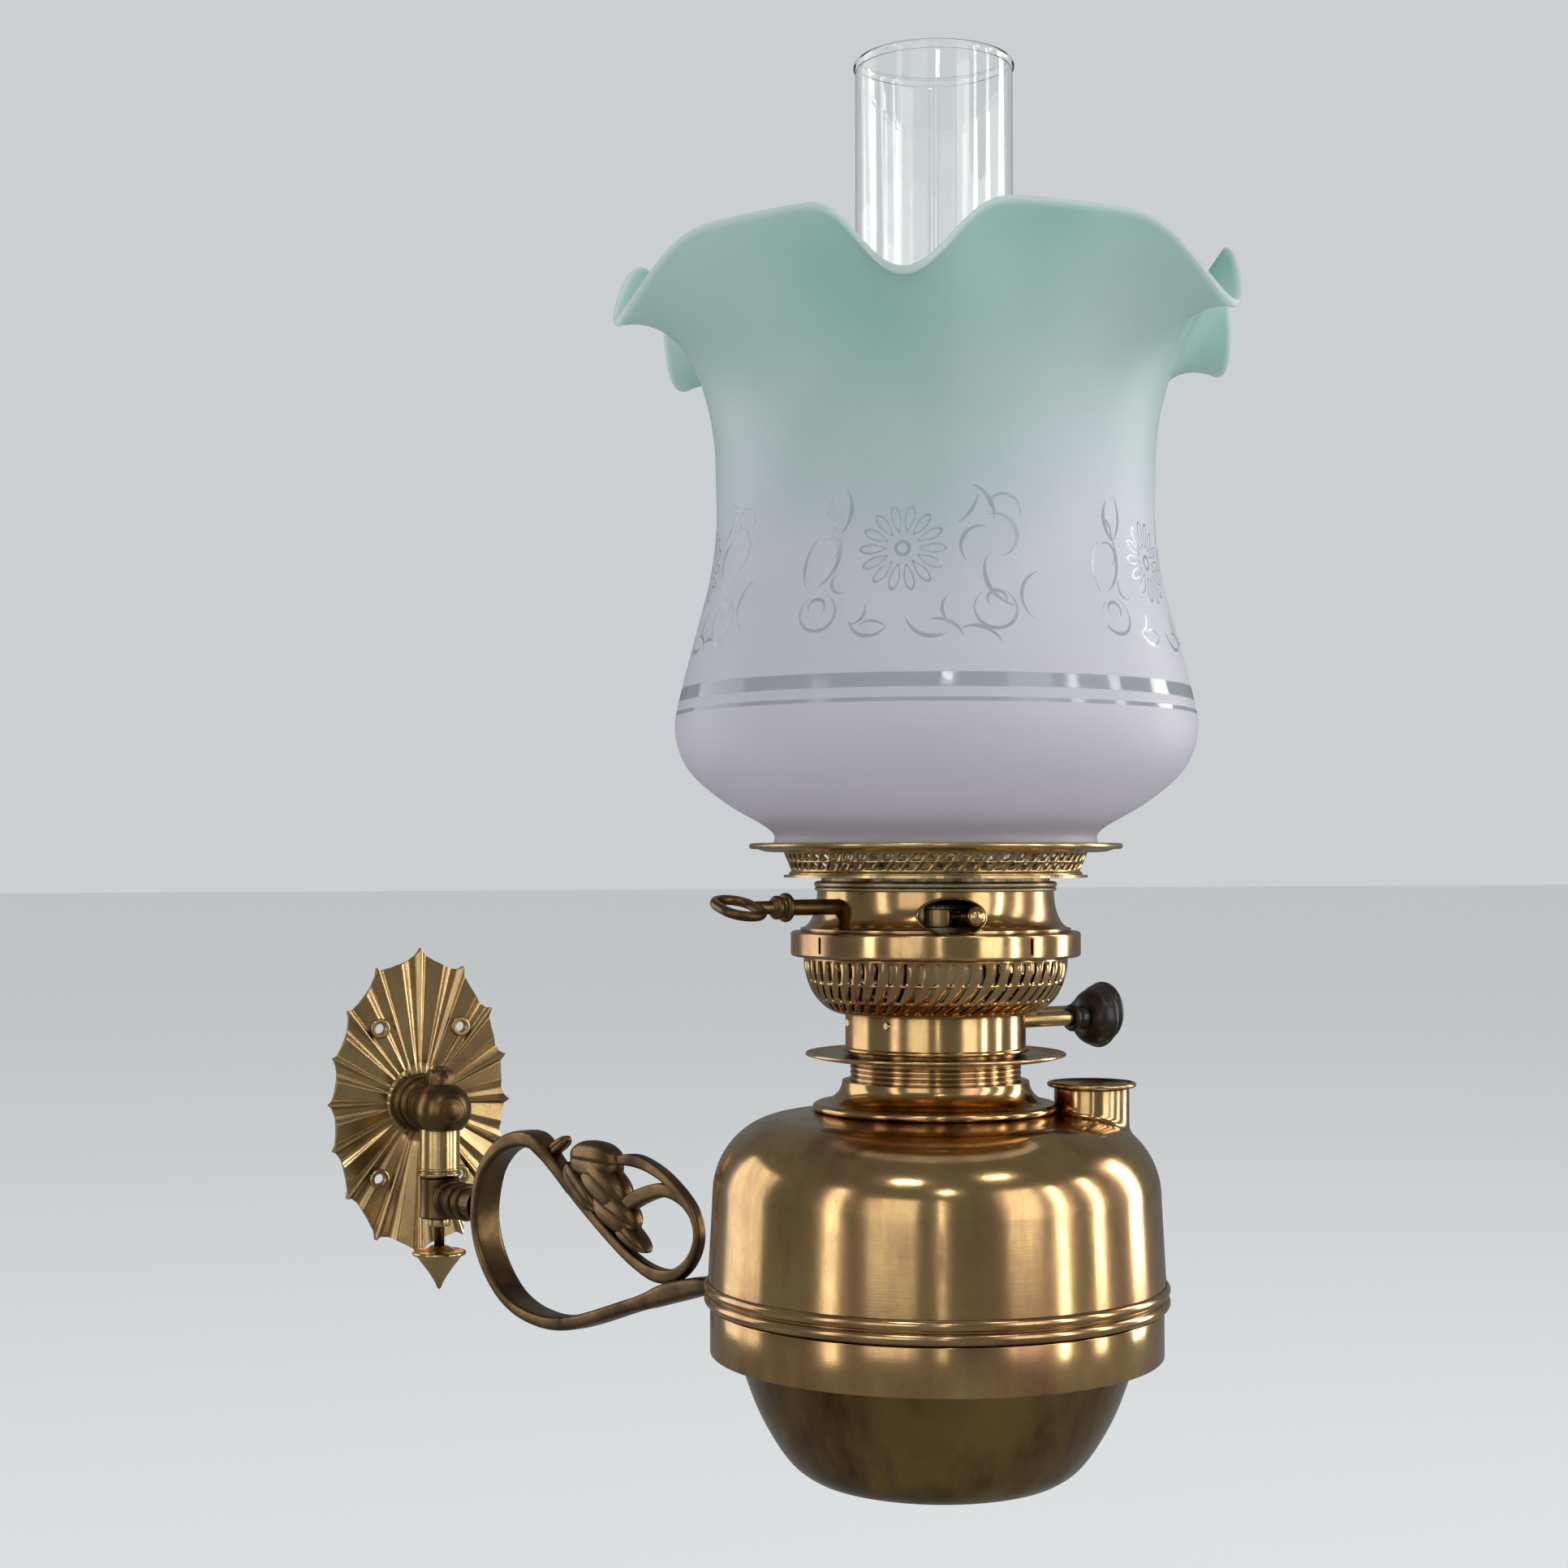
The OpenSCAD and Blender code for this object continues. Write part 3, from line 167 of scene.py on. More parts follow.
def newMaterial(name):
    material = bpy.data.materials.new(name)
    material.use_nodes = True
    tree = material.node_tree
    shader = next(node for node in tree.nodes if node.type == "BSDF_PRINCIPLED")
    return material, tree, shader, tree.nodes.new("ShaderNodeTexCoord").outputs["Object"]


# Old brass: brown clouds of tarnish, upright streaks that are partly tarnish runs and partly painted reflections of a
# room's windows and walls, dark specks, and fine turning marks in the surface
def makeTarnishAndReflectionGroup():
    tree, given, result = newGroup("brassTarnishAndReflections", [
        ("Vector", "NodeSocketVector", None),
        ("Bright", "NodeSocketColor", (0.7, 0.5, 0.2, 1)),
        ("Brown", "NodeSocketColor", (0.3, 0.18, 0.07, 1)),
        ("Tarnish", "NodeSocketFloat", 0.5),
        ("Streaks", "NodeSocketFloat", 0.5),
        ("Specks", "NodeSocketFloat", 0.3),
        ("Size", "NodeSocketFloat", 1.0),
    ], [("Colour", "NodeSocketColor"), ("Dull", "NodeSocketFloat"), ("Height", "NodeSocketFloat")])
    scaled = tree.nodes.new("ShaderNodeVectorMath")
    scaled.operation = "SCALE"
    feed(tree, scaled.inputs[0], given["Vector"])
    feed(tree, scaled.inputs["Scale"], given["Size"])
    vector = scaled.outputs[0]
    clouds = ramp(tree, noise(tree, vector, 30.0, 6.0, 0.62), 0.40, 0.68)
    # Upright streaks pull the colour towards the brown: partly tarnish runs, partly painted reflections of dark walls
    # between windows
    streaks = ramp(tree, noise(tree, vector, 1.0, 5.0, 0.6, (75.0, 75.0, 11.0)), 0.44, 0.70)
    fine = noise(tree, vector, 420.0, 3.0, 0.6)
    turning = noise(tree, vector, 1.0, 2.0, 0.5, (120.0, 120.0, 2600.0))
    specks = ramp(tree, noise(tree, vector, 170.0, 5.0, 0.7), 0.62, 0.74)
    stainAndReflection = calc(tree, "ADD", calc(tree, "MULTIPLY", clouds, given["Tarnish"]),
                   calc(tree, "MULTIPLY", streaks, given["Streaks"]), clamp=True)
    speckled = calc(tree, "MULTIPLY", specks, given["Specks"])
    colour = mixColour(tree, stainAndReflection, given["Bright"], given["Brown"])
    feed(tree, result["Colour"], mixColour(tree, speckled, colour, (0.07, 0.04, 0.018)))
    dull = calc(tree, "ADD", calc(tree, "MULTIPLY", stainAndReflection, 0.6), calc(tree, "MULTIPLY", fine, 0.35))
    feed(tree, result["Dull"], calc(tree, "ADD", dull, speckled, clamp=True))
    feed(tree, result["Height"], calc(tree, "ADD", calc(tree, "MULTIPLY", fine, 0.5), turning))
    return tree


# Darkening in hollows and corners, partly dirt and partly painted shade where light is closed out, broken up by noise;
# Open is 1 in the open and 0 where closed in
def makeHollowShadeAndGrimeGroup():
    tree, given, result = newGroup("hollowShadeAndGrime", [
        ("Vector", "NodeSocketVector", None),
        ("Open", "NodeSocketFloat", 1.0),
        ("Amount", "NodeSocketFloat", 0.6),
    ], [("Mask", "NodeSocketFloat")])
    closed = ramp(tree, given["Open"], 0.85, 0.35)
    uneven = ramp(tree, noise(tree, given["Vector"], 260.0, 5.0, 0.65), 0.25, 0.6)
    feed(tree, result["Mask"], calc(tree, "MULTIPLY", calc(tree, "MULTIPLY", closed, uneven), given["Amount"]))
    return tree


tarnishAndReflectionGroup = makeTarnishAndReflectionGroup()
hollowShadeAndGrimeGroup = makeHollowShadeAndGrimeGroup()

brassFinishes = {
    "bright_brass": dict(bright=(0.66, 0.45, 0.19), brown=(0.40, 0.21, 0.115), tarnish=0.6, streaks=0.7,
                         specks=0.3, size=1.0, smooth=0.08, rough=0.28, bump=0.05, shadeAndGrime=0.8),
    "old_brass": dict(bright=(0.66, 0.47, 0.22), brown=(0.34, 0.20, 0.09), tarnish=0.65, streaks=0.3,
                      specks=0.25, size=1.3, smooth=0.16, rough=0.38, bump=0.05, shadeAndGrime=1.0),
    # Dark bowl brass with golden upright streaks: the darkness is a painted reflection of the room below, the streaks
    # painted reflections of windows
    "bowl_brass": dict(bright=(0.36, 0.235, 0.085), brown=(0.075, 0.035, 0.016), tarnish=0.5, streaks=0.9,
                       specks=0.1, size=0.5, smooth=0.02, rough=0.08, bump=0.02, shadeAndGrime=0.4),
    "dark_bronze": dict(bright=(0.20, 0.122, 0.052), brown=(0.060, 0.034, 0.018), tarnish=0.9, streaks=0.1,
                        specks=0.5, size=1.8, smooth=0.24, rough=0.5, bump=0.3, shadeAndGrime=1.0),
    "pale_brass": dict(bright=(0.56, 0.48, 0.31), brown=(0.30, 0.23, 0.12), tarnish=0.6, streaks=0.2,
                       specks=0.4, size=1.5, smooth=0.22, rough=0.5, bump=0.15, shadeAndGrime=0.8),
}


# Brass in one finish, its roughness between a polished and a dull value
def makeBrass(name, finish):
    material, tree, shader, vector = newMaterial(name)
    wearAndReflection = useGroup(tree, tarnishAndReflectionGroup, Vector=vector, Bright=finish["bright"], Brown=finish["brown"],
                    Tarnish=finish["tarnish"], Streaks=finish["streaks"], Specks=finish["specks"],
                    Size=finish["size"])
    # Ambient occlusion tells how closed in each point is; the colour darkens there as painted shade with dirt, and the
    # roughness rises
    corner = tree.nodes.new("ShaderNodeAmbientOcclusion")
    corner.samples = 6
    corner.inputs["Distance"].default_value = 0.004
    shadeAndGrimeMask = useGroup(tree, hollowShadeAndGrimeGroup, Vector=vector, Open=corner.outputs["AO"], Amount=finish["shadeAndGrime"])["Mask"]
    feed(tree, shader.inputs["Base Color"], mixColour(tree, shadeAndGrimeMask, wearAndReflection["Colour"], (0.045, 0.028, 0.014)))
    dull = calc(tree, "MAXIMUM", wearAndReflection["Dull"], shadeAndGrimeMask)
    feed(tree, shader.inputs["Roughness"], ramp(tree, dull, 0.0, 1.0, finish["smooth"], finish["rough"]))
    addBump(tree, shader, wearAndReflection["Height"], finish["bump"], 0.0001)
    shader.inputs["Metallic"].default_value = 1.0
    return material


materials = {name: makeBrass(name, finish) for name, finish in brassFinishes.items()}


# Dark pressed composition: brown black, half gloss, rubbed paler in places
def makeKnobFinish():
    material, tree, shader, vector = newMaterial("knob_black")
    rubbed = ramp(tree, noise(tree, vector, 160.0, 5.0, 0.6), 0.5, 0.8)
    feed(tree, shader.inputs["Base Color"], mixColour(tree, rubbed, (0.014, 0.008, 0.006), (0.04, 0.022, 0.014)))
    feed(tree, shader.inputs["Roughness"], ramp(tree, noise(tree, vector, 300.0), 0.2, 0.8, 0.25, 0.5))
    shader.inputs["Coat Weight"].default_value = 0.1
    return material


cottonLook = {"pale": (0.86, 0.82, 0.72), "shade": (0.50, 0.45, 0.35), "burnt": (0.03, 0.025, 0.02)}


# Woven cotton: rows across and threads along, darker where the weave sinks as painted shade in its hollows, charred at
# the top edge
def makeCotton(look):
    material, tree, shader, vector = newMaterial("wick_cotton")
    split = tree.nodes.new("ShaderNodeSeparateXYZ")
    feed(tree, split.inputs[0], vector)
    rows = calc(tree, "SINE", calc(tree, "MULTIPLY", split.outputs["Z"], 5200.0))
    threads = calc(tree, "SINE", calc(tree, "MULTIPLY", split.outputs["X"], 7000.0))
    weave = ramp(tree, calc(tree, "MULTIPLY", rows, threads), -1.0, 1.0)
    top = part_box("wick_near")[1].z
    burnt = ramp(tree, split.outputs["Z"], top - 0.004, top)
    # Low parts of the weave take the darker tone: painted shade
    cloth = mixColour(tree, weave, look["shade"], look["pale"])
    feed(tree, shader.inputs["Base Color"], mixColour(tree, burnt, cloth, look["burnt"]))
    shader.inputs["Roughness"].default_value = 0.9
    shader.inputs["Sheen Weight"].default_value = 0.3
    addBump(tree, shader, weave, 0.5, 0.0003)
    return material


# Blown glass: faint waves and a little dust
def makeClearGlass():
    material, tree, shader, vector = newMaterial("clear_glass")
    dust = ramp(tree, noise(tree, vector, 90.0, 6.0, 0.65), 0.5, 0.85)
    feed(tree, shader.inputs["Roughness"], calc(tree, "MULTIPLY", dust, 0.10))
    feed(tree, shader.inputs["Base Color"], mixColour(tree, dust, (0.985, 0.995, 0.99), (0.93, 0.95, 0.95)))
    shader.inputs["Transmission Weight"].default_value = 1.0
    shader.inputs["IOR"].default_value = 1.48
    addBump(tree, shader, noise(tree, vector, 22.0, 2.0), 0.15, 0.0006)
    return material


shadeLow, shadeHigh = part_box("shade")
shadeLook = {
    "lilac": (0.80, 0.765, 0.835),
    "white": (0.83, 0.845, 0.88),
    "mint": (0.32, 0.62, 0.52),
    "mintFrom": 0.190,      # height where the green starts to show, metres
    "mintFull": 0.285,      # height where it is full
    # Greyed tone of the clear ornament: painted shade of the dim inside seen through it
    "clear": (0.55, 0.58, 0.60),
    # Pale line along the rim: painted highlight on the polished edge
    "rim": (0.92, 0.98, 0.96),
    "frost": 0.50,          # roughness of the frosted glass
    "through": 0.55,        # share of light that passes as in glass
}


# A tapering stroke on an arc round a centre: how near a point is to the radius, against a width that swells
# in the middle of the stroke and ends at both ends
def makeStrokeGroup():
    tree, given, result = newGroup("etchedStroke", [
        ("Point", "NodeSocketVector", None),
        ("Centre", "NodeSocketVector", (0, 0, 0)),
        ("Radius", "NodeSocketFloat", 5.0),
        ("Start", "NodeSocketFloat", 0.0),      # direction of the stroke's middle, degrees
        ("Half", "NodeSocketFloat", 60.0),      # degrees from there to each end
        ("Width", "NodeSocketFloat", 1.0),
    ], [("Mask", "NodeSocketFloat")])
    offset = tree.nodes.new("ShaderNodeVectorMath")
    offset.operation = "SUBTRACT"
    feed(tree, offset.inputs[0], given["Point"])
    feed(tree, offset.inputs[1], given["Centre"])
    turned = tree.nodes.new("ShaderNodeVectorRotate")
    turned.rotation_type = "Z_AXIS"
    feed(tree, turned.inputs["Vector"], offset.outputs[0])
    feed(tree, turned.inputs["Angle"], calc(tree, "MULTIPLY", given["Start"], -math.pi / 180))
    split = tree.nodes.new("ShaderNodeSeparateXYZ")
    feed(tree, split.inputs[0], turned.outputs[0])
    length = tree.nodes.new("ShaderNodeVectorMath")
    length.operation = "LENGTH"
    feed(tree, length.inputs[0], turned.outputs[0])
    away = calc(tree, "ABSOLUTE", calc(tree, "SUBTRACT", length.outputs["Value"], given["Radius"]))
    angle = calc(tree, "ABSOLUTE", calc(tree, "ARCTAN2", split.outputs["Y"], split.outputs["X"]))
    share = calc(tree, "DIVIDE", calc(tree, "MULTIPLY", angle, 180 / math.pi), given["Half"])
    swell = calc(tree, "SQRT", calc(tree, "SUBTRACT", 1.0, share, clamp=True))
    edge = calc(tree, "MULTIPLY", swell, given["Width"])
    feed(tree, result["Mask"], ramp(tree, calc(tree, "SUBTRACT", edge, away), 0.0, 0.35))
    return tree


etchLook = {
    "repeats": 5, "turn": -141.0, "radius": 69.5,      # how often, direction of a flower, and the glass there, mm
    "flowerHeight": 188.0, "petals": 14, "petalLow": 4.6, "petalHigh": 12.6, "line": 0.78,
    # Strokes: centre across and up from the flower in mm, radius, middle direction, half sweep, width
    "strokes": [
        (-23.5, -18.0, 5.4, -80, 165, 0.9), (-24.0, -16.5, 2.5, 80, 140, 0.9), (-16.5, -5.0, 13.0, 172, 40, 0.9),
        (-31.5, 0.5, 13.0, -14, 50, 1.1), (-13.5, 11.5, 9.0, 192, 48, 1.3), (-26.0, 12.5, 10.5, -8, 42, 1.1),
        (-22.5, 0.5, 3.4, 30, 110, 0.8), (-17.0, -9.5, 3.2, 205, 90, 0.8), (-24.5, 6.5, 5.0, 35, 50, 0.9),
        (25.5, -17.5, 5.8, -85, 160, 0.9), (26.0, -15.0, 2.7, 95, 140, 0.9), (33.5, -6.5, 10.5, 205, 55, 1.1),
        (41.0, -14.0, 8.0, 170, 70, 0.9), (22.5, 0.5, 6.0, 150, 80, 1.0), (27.0, 4.0, 6.2, 15, 100, 1.1),
        (29.5, 11.0, 5.0, 70, 100, 0.9), (17.0, 9.5, 9.5, 30, 40, 1.1), (10.0, 18.0, 12.0, -35, 28, 0.9),
        (-8.5, -20.0, 5.4, -100, 78, 1.0), (-8.0, -26.0, 5.0, 80, 55, 0.8), (-14.0, -17.5, 4.4, -35, 60, 0.8),
        (8.5, -18.5, 7.2, -108, 62, 1.1), (9.5, -28.0, 7.4, 62, 48, 1.0), (16.0, -17.5, 5.0, 185, 55, 0.9),
        (19.5, -30.0, 7.4, 70, 55, 1.0),
    ],
    "bands": [(150.0, 2.1), (144.3, 0.6)],             # height and half width of the clear lines, mm
}


# Clear ornament in the frosting, repeated round the glass: a flower whose petals are narrow loops, arcs that
# taper like leaves and tendrils, and two plain bands
def makeEtchGroup(look):
    tree, given, result = newGroup("etchedOrnament", [("Vector", "NodeSocketVector", None)],
                                   [("Mask", "NodeSocketFloat")])
    moved = tree.nodes.new("ShaderNodeMapping")
    moved.inputs["Location"].default_value = (-lampX, -lampY, 0.0)
    feed(tree, moved.inputs["Vector"], given["Vector"])
    place = tree.nodes.new("ShaderNodeSeparateXYZ")
    feed(tree, place.inputs[0], moved.outputs[0])
    sector = 2 * math.pi / look["repeats"]
    first = math.radians(look["turn"]) + armSwing - sector / 2
    turn = calc(tree, "SUBTRACT", calc(tree, "ARCTAN2", place.outputs["Y"], place.outputs["X"]), first)
    within = calc(tree, "SUBTRACT", calc(tree, "FLOORED_MODULO", turn, sector), sector / 2)
    height = calc(tree, "MULTIPLY", place.outputs["Z"], 1000.0)
    across = calc(tree, "MULTIPLY", within, look["radius"])
    up = calc(tree, "SUBTRACT", height, look["flowerHeight"])
    point = tree.nodes.new("ShaderNodeCombineXYZ")
    feed(tree, point.inputs["X"], across)
    feed(tree, point.inputs["Y"], up)
    reach = tree.nodes.new("ShaderNodeVectorMath")
    reach.operation = "LENGTH"
    feed(tree, reach.inputs[0], point.outputs[0])
    far = reach.outputs["Value"]
    leaf = calc(tree, "COSINE", calc(tree, "MULTIPLY", calc(tree, "ARCTAN2", up, across), look["petals"]))
    # A petal's loop stands where its wave meets a level that rises near the tip and the root
    middle = (look["petalLow"] + look["petalHigh"]) / 2
    half = (look["petalHigh"] - look["petalLow"]) / 2
    along = calc(tree, "DIVIDE", calc(tree, "SUBTRACT", far, middle), half)
    level = calc(tree, "SUBTRACT", calc(tree, "MULTIPLY", calc(tree, "MULTIPLY", along, along), 1.6), 0.35)
    loop = ramp(tree, calc(tree, "ABSOLUTE", calc(tree, "SUBTRACT", leaf, level)), 0.42, 0.22)
    petals = calc(tree, "MULTIPLY", loop, ramp(tree, far, look["petalHigh"] + 1.2, look["petalHigh"] + 0.8))
    heart = ramp(tree, calc(tree, "ABSOLUTE", calc(tree, "SUBTRACT", far, 1.9)), 0.65, 0.35)
    mask = calc(tree, "MAXIMUM", petals, heart)
    for x, y, radius, start, sweep, width in look["strokes"]:
        stroke = useGroup(tree, strokeGroup, Point=point.outputs[0], Centre=(x, y, 0.0), Radius=radius,
                          Start=start, Half=sweep, Width=width * look["line"])
        mask = calc(tree, "MAXIMUM", mask, stroke["Mask"])
    for middle, half in look["bands"]:
        away = calc(tree, "ABSOLUTE", calc(tree, "SUBTRACT", height, middle))
        mask = calc(tree, "MAXIMUM", mask, ramp(tree, away, half + 0.15, half - 0.15))
    feed(tree, result["Mask"], mask)
    return tree


strokeGroup = makeStrokeGroup()
etchGroup = makeEtchGroup(etchLook)


# Acid-frosted glass, lilac white, sprayed mint towards the rim with a cloudy edge, a pale line along the rim as a
# painted highlight, and clear in the ornament, greyed there as painted shade seen through the glass
def makeFrostedGlass(look):
    material, tree, shader, vector = newMaterial("frosted_glass")
    split = tree.nodes.new("ShaderNodeSeparateXYZ")
    feed(tree, split.inputs[0], vector)
    clouds = calc(tree, "SUBTRACT", noise(tree, vector, 9.0, 3.0, 0.5), 0.5)
    sprayed = calc(tree, "ADD", split.outputs["Z"], calc(tree, "MULTIPLY", clouds, 0.14))
    thick = ramp(tree, noise(tree, vector, 7.0, 1.0), 0.38, 0.62, 0.6, 1.0)
    green = calc(tree, "MULTIPLY", thick, ramp(tree, sprayed, look["mintFrom"], look["mintFull"]))
    body = mixColour(tree, ramp(tree, split.outputs["Z"], 0.12, 0.22), look["lilac"], look["white"])
    etched = useGroup(tree, etchGroup, Vector=vector)["Mask"]
    colour = mixColour(tree, green, body, look["mint"])
    marks = tree.nodes.new("ShaderNodeAttribute")
    marks.attribute_name = "marks"
    # Pale line near the rim: painted highlight
    rim = ramp(tree, marks.outputs["Fac"], 0.25, 0.75)
    colour = mixColour(tree, rim, colour, look["rim"])
    # The clear ornament is greyed: painted shade of the dim inside seen through it
    feed(tree, shader.inputs["Base Color"], mixColour(tree, etched, colour, look["clear"]))
    grain = noise(tree, vector, 900.0, 3.0, 0.6)
    frost = ramp(tree, grain, 0.0, 1.0, look["frost"] - 0.06, look["frost"] + 0.06)
    feed(tree, shader.inputs["Roughness"],
         calc(tree, "MULTIPLY", frost, ramp(tree, etched, 0.0, 1.0, 1.0, 0.08)))
    shader.inputs["Transmission Weight"].default_value = look["through"]
    shader.inputs["IOR"].default_value = 1.45
    addBump(tree, shader, grain, 0.1, 0.0002)
    return material


materials["knob_black"] = makeKnobFinish()
materials["wick_cotton"] = makeCotton(cottonLook)
materials["clear_glass"] = makeClearGlass()
materials["frosted_glass"] = makeFrostedGlass(shadeLook)
print("Materials made:", len(materials))

# Mesh helpers; every piece is worked out in millimetres in the axes of the lamp, the arm or the wall

burnerTurn = -6.0


def weld(mesh, outward):
    work = bmesh.new()
    work.from_mesh(mesh)
    bmesh.ops.remove_doubles(work, verts=work.verts, dist=3e-6)
    if outward:
        bmesh.ops.recalc_face_normals(work, faces=work.faces)
    work.to_mesh(mesh)
    work.free()


def putPiece(name, mesh, body, slotName, smoothAngle, replaced):
    mesh.shade_smooth()
    mesh.set_sharp_from_angle(angle=math.radians(smoothAngle))
    mesh.materials.clear()
    mesh.materials.append(materials[slotName])
    piece = bpy.data.objects.new(name, mesh)
    bpy.context.scene.collection.objects.link(piece)
    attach(piece, body)
    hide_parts(*replaced)
    return piece


# A new piece in place of one node, from points in the frame and faces; marks, one for each point, serve its material
def makePiece(node, points, faces, smoothAngle=35.0, marks=None):
    mesh = bpy.data.meshes.new(node)
    mesh.from_pydata(points.tolist(), [], faces.tolist())
    if marks is not None:
        mesh.attributes.new("marks", "FLOAT", "POINT").data.foreach_set("value", marks.ravel())
    weld(mesh, True)
    return putPiece("made_" + node, mesh, bodyOf[node], slotOf[node], smoothAngle, (node,))


# A welded, soft-shaded copy of a node as it is
def dressNode(node, smoothAngle=35.0):
    mesh = frame["nodes"][node].data.copy()
    weld(mesh, False)
    return putPiece("dressed_" + node, mesh, bodyOf[node], slotOf[node], smoothAngle, (node,))


def turned(points, x, y, angle):
    p = np.asarray(points, float).reshape(-1, 3) * mm
    c, s = math.cos(angle), math.sin(angle)
    return np.stack([x + p[:, 0] * c - p[:, 1] * s, y + p[:, 0] * s + p[:, 1] * c, p[:, 2]], axis=1)


def toLamp(points, turn=0.0):
    return turned(points, lampX, lampY, armSwing + math.radians(turn))


def toArm(points):
    return turned(points, armX, armY, armSwing)


# Quads over a grid of rows and columns, closed round where asked
def gridFaces(rows, columns, loopRows=False, loopColumns=True):
    i = np.arange(rows if loopRows else rows - 1)
    j = np.arange(columns if loopColumns else columns - 1)
    i, j = np.meshgrid(i, j, indexing="ij")
    nextI, nextJ = (i + 1) % rows, (j + 1) % columns
    quads = np.stack([i * columns + j, i * columns + nextJ, nextI * columns + nextJ, nextI * columns + j], axis=-1)
    return quads.reshape(-1, 4)


# Several sets of points and faces as one
def joined(*parts):
    starts = np.cumsum([0] + [len(points) for points, faces in parts[:-1]])
    return (np.vstack([points for points, faces in parts]),
            np.vstack([faces + start for start, (points, faces) in zip(starts, parts)]))


# Catmull-Rom curve through the points
def smoothCurve(points, steps):
    p = np.asarray(points, float)
    padded = np.vstack([2 * p[0] - p[1], p, 2 * p[-1] - p[-2]])
    t = np.arange(steps)[:, None] / steps
    pieces = [0.5 * (2 * b + t * (c - a) + t ** 2 * (2 * a - 5 * b + 4 * c - d)
                     + t ** 3 * (3 * b - a - 3 * c + d))
              for a, b, c, d in zip(padded[:-3], padded[1:-2], padded[2:-1], padded[3:])]
    return np.vstack(pieces + [p[-1:]])


# Points on an ellipse, angles in degrees
def arc(x, y, rx, ry, start, end, steps):
    a = np.radians(np.linspace(start, end, steps))
    return np.stack([x + rx * np.cos(a), y + ry * np.sin(a)], axis=1)


def line(*parts):
    return np.vstack([np.atleast_2d(part) for part in parts]).astype(float)


# Left-hand side of a line of radius and height, at each point
def sideOf(outline):
    along = np.gradient(outline, axis=0)
    along /= np.linalg.norm(along, axis=1, keepdims=True)
    return np.stack([-along[:, 1], along[:, 0]], axis=1)


# Closed outline of a sheet: the line, and the line moved to its left by the wall
def sheet(outline, wall):
    return np.vstack([outline, (outline + wall * sideOf(outline))[::-1]])


# A closed outline of radius and height turned round the upright axis
def spun(outline, segments=192):
    turn = np.arange(segments) * 2 * math.pi / segments
    r, z = outline[:, :1], outline[:, 1:]
    points = np.stack([r * np.cos(turn), r * np.sin(turn), z + 0 * turn], axis=-1)
    return points.reshape(-1, 3), gridFaces(len(outline), segments, loopRows=True)


# The same outline turned round an axis along X, Y or the upright, its height measured along the axis
def spunAlong(outline, axis, centre=(0, 0, 0), segments=96):
    points, faces = spun(outline, segments)
    order = {"x": (2, 0, 1), "y": (0, 2, 1), "z": (0, 1, 2)}[axis]
    return points[:, order] + np.array(centre, float), faces


# A round rod of one radius or one for each point, along a path of points, ends closed
def tube(path, radius, sides=16, loop=False):
    p = np.asarray(path, float)
    along = np.roll(p, -1, 0) - np.roll(p, 1, 0) if loop else np.gradient(p, axis=0)
    along /= np.linalg.norm(along, axis=1, keepdims=True)
    up = np.array([0.0, 0.0, 1.0]) if np.abs(along[:, 2]).max() < 0.95 else np.array([0.37, 0.93, 0.0])
    first = np.cross(along, up)
    first /= np.linalg.norm(first, axis=1, keepdims=True)
    second = np.cross(along, first)
    turn = np.arange(sides) * 2 * math.pi / sides
    r = np.broadcast_to(np.asarray(radius, float), len(p))[:, None, None]
    ring = first[:, None, :] * np.cos(turn)[None, :, None] + second[:, None, :] * np.sin(turn)[None, :, None]
    points = p[:, None, :] + r * ring
    if loop:
        return points.reshape(-1, 3), gridFaces(len(p), sides, loopRows=True)
    points = np.concatenate([np.repeat(p[:1, None], sides, 1), points, np.repeat(p[-1:, None], sides, 1)])
    return points.reshape(-1, 3), gridFaces(len(points), sides)


# Takes the cutter's closed form out of a piece
def cutAway(piece, points, faces):
    mesh = bpy.data.meshes.new("cutter")
    mesh.from_pydata(points.tolist(), [], faces.tolist())
    weld(mesh, True)
    cutter = bpy.data.objects.new("cutter", mesh)
    bpy.context.scene.collection.objects.link(cutter)
    modifier = piece.modifiers.new("cut", "BOOLEAN")
    modifier.operation = "DIFFERENCE"
    modifier.solver = "EXACT"
    modifier.object = cutter
    shape = bpy.data.meshes.new_from_object(piece.evaluated_get(bpy.context.evaluated_depsgraph_get()))
    piece.modifiers.clear()
    piece.data = shape
    bpy.data.objects.remove(cutter)
    shape.shade_smooth()
    shape.set_sharp_from_angle(angle=math.radians(35.0))


# Rounds each corner of a closed outline: a short curve between points a little way along its two sides
def softened(outline, radius=0.25):
    before, after = np.roll(outline, 1, 0) - outline, np.roll(outline, -1, 0) - outline
    a, b = np.linalg.norm(before, axis=1), np.linalg.norm(after, axis=1)
    bend = np.degrees(np.arccos(np.clip(-(before * after).sum(axis=1) / (a * b), -1, 1)))
    bent = (bend > 20) & (outline[:, 0] > 1e-6)
    cut = np.where(bent, np.minimum(radius, 0.4 * np.minimum(a, b)), 0)[:, None]
    start, end = outline + before / a[:, None] * cut, outline + after / b[:, None] * cut
    t = np.array([0.0, 0.33, 0.67, 1.0])[None, :, None]
    curve = (1 - t) ** 2 * start[:, None] + 2 * t * (1 - t) * outline[:, None] + t ** 2 * end[:, None]
    keep = np.ones((len(outline), 4), bool)
    keep[~bent, 1:] = False
    return curve[keep]


def block(low, high):
    corners = np.array([[x, y, z] for x in (low[0], high[0]) for y in (low[1], high[1]) for z in (low[2], high[2])],
                       float)
    return corners, np.array([[0, 1, 3, 2], [4, 6, 7, 5], [0, 4, 5, 1], [2, 3, 7, 6], [0, 2, 6, 4], [1, 5, 7, 3]])

# Shade

